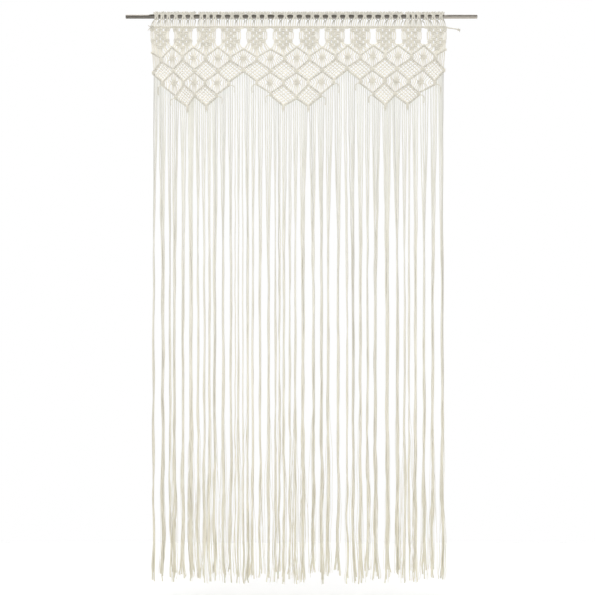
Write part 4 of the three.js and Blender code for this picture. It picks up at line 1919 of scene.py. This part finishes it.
@dataclass
class Studio:
    """The pale floor, the soft light and the camera."""

    floor_z: float = -2.05
    floor_width: float = 3.2
    floor_depth: float = 2.4
    floor_grey: float = 0.9
    lamp_size: float = 1.3
    aim: Triple = (0.0, 0.0, -0.5)
    side_light: float = 0.34
    top_light: float = 3.0
    lens: float = 85.0
    sensor: float = 36.0

    def build(self) -> None:
        """Builds the studio."""
        self.floor()
        self.world()
        self.lamp("key", (-1.3, -3.0, 0.45), 25.0)
        self.lamp("fill", (1.3, -3.2, -0.2), 14.0)
        self.camera()

    def floor(self) -> None:
        """Adds the floor."""
        x, y = self.floor_width / 2, self.floor_depth / 2
        corners = [(-x, -y), (x, -y), (x, y), (-x, y)]
        mesh = bpy.data.meshes.new("floor")
        mesh.from_pydata([(*corner, self.floor_z) for corner in corners], [], [(0, 1, 2, 3)])
        material, _, shader = new_material("pale_floor")
        shader["Base Color"].default_value = (self.floor_grey, self.floor_grey, self.floor_grey, 1.0)
        shader["Roughness"].default_value = 0.9
        mesh.materials.append(material)
        floor = placed("floor", mesh)

    def world(self) -> None:
        """Surrounds the scene with soft light.

        It is white in front and behind, dimmer at the sides so that each round strand has shaded edges,
        and brightest overhead, as below a large soft box.
        """
        world = bpy.data.worlds.new("studio_light")
        bpy.context.scene.world = world
        world.use_nodes = True
        board = Board(world.node_tree)
        sky = world.node_tree.nodes["Background"].inputs
        axes = board.split(board.add("ShaderNodeTexCoord").outputs["Generated"])
        ahead = board.ramp(board.math("ABSOLUTE", axes["Y"]), (0.55, 0.85), curve="SMOOTHSTEP")
        low = board.ramp(axes["Z"], (0.34, 0.22), curve="SMOOTHSTEP")
        overhead = board.ramp(axes["Z"], (0.8, 0.92), curve="SMOOTHSTEP")
        facing = board.math("MULTIPLY", ahead, low)
        level = board.math("MULTIPLY_ADD", facing, 1.0 - self.side_light, self.side_light)
        sky["Color"].default_value = (1.0, 1.0, 1.0, 1.0)
        board.feed(board.math("MULTIPLY_ADD", overhead, self.top_light, level), sky["Strength"])

    def lamp(self, name: str, place: Triple, watts: float) -> None:
        """Adds a soft square lamp that points at the curtain.

        Args:
            name: the lamp's name.
            place: where it stands, in metres.
            watts: how strong it is.
        """
        light = bpy.data.lights.new(name, "AREA")
        light.size = self.lamp_size
        light.energy = watts
        lamp = placed(name, light)
        lamp.location = place
        lamp.rotation_euler = (Vector(self.aim) - lamp.location).to_track_quat("-Z", "Y").to_euler()

    def camera(self) -> None:
        """Adds the camera, square to the curtain, at the photograph's frame."""
        lens = bpy.data.cameras.new("camera")
        lens.lens = self.lens
        lens.sensor_width = self.sensor
        camera = placed("camera", lens)
        pixel = MM_PER_PIXEL * METRES
        x, z = (IMAGE_SIDE / 2 - AXIS_PIXEL_X) * pixel, (AXIS_PIXEL_Y - IMAGE_SIDE / 2) * pixel
        camera.location = (x, -IMAGE_SIDE * pixel * self.lens / self.sensor, z)
        camera.rotation_euler = (math.radians(90), 0, 0)
        bpy.context.scene.camera = camera


def workshop() -> Workshop:
    """Makes the finishes and the node trees, and sets up the workshop with them.

    Returns:
        The workshop, with its sample knots.
    """
    twist = twist_group()
    knotted = Cotton(
        "cotton_knotted",
        light=(0.925, 0.895, 0.8),
        shade=(0.66, 0.6, 0.47),
        low_tint=(1.0, 1.0, 1.01),
        high=-0.1,
        low=-0.16,
    )
    fringe = Cotton(
        "cotton_fringe",
        light=(0.905, 0.9, 0.835),
        shade=(0.64, 0.6, 0.5),
        low_tint=(0.91, 0.875, 0.79),
    )
    shop = Workshop(Pattern(), cord_tree(), knot_tree(), knotted.material(twist), fringe.material(twist))
    shop.prepare()
    return shop


def main() -> None:
    """Builds the curtain, its rod and the studio."""
    logging.basicConfig(level=logging.INFO, format="%(name)s: %(message)s")
    for thing in list(bpy.data.objects):
        bpy.data.objects.remove(thing)
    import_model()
    bpy.context.scene.view_settings.view_transform = "Standard"
    Studio().build()
    Rod(Pewter("pewter", tint=(1.0, 0.925, 0.82)).material()).build()
    shop = workshop()
    for part in (TopBand, Heading, Shields, Lattice, Nets, Flowers):
        part(shop).build()
    for scallop in SCALLOPS:
        Fringe(shop, scallop=scallop).build()
    shop.clear()


if __name__ == "__main__":
    main()
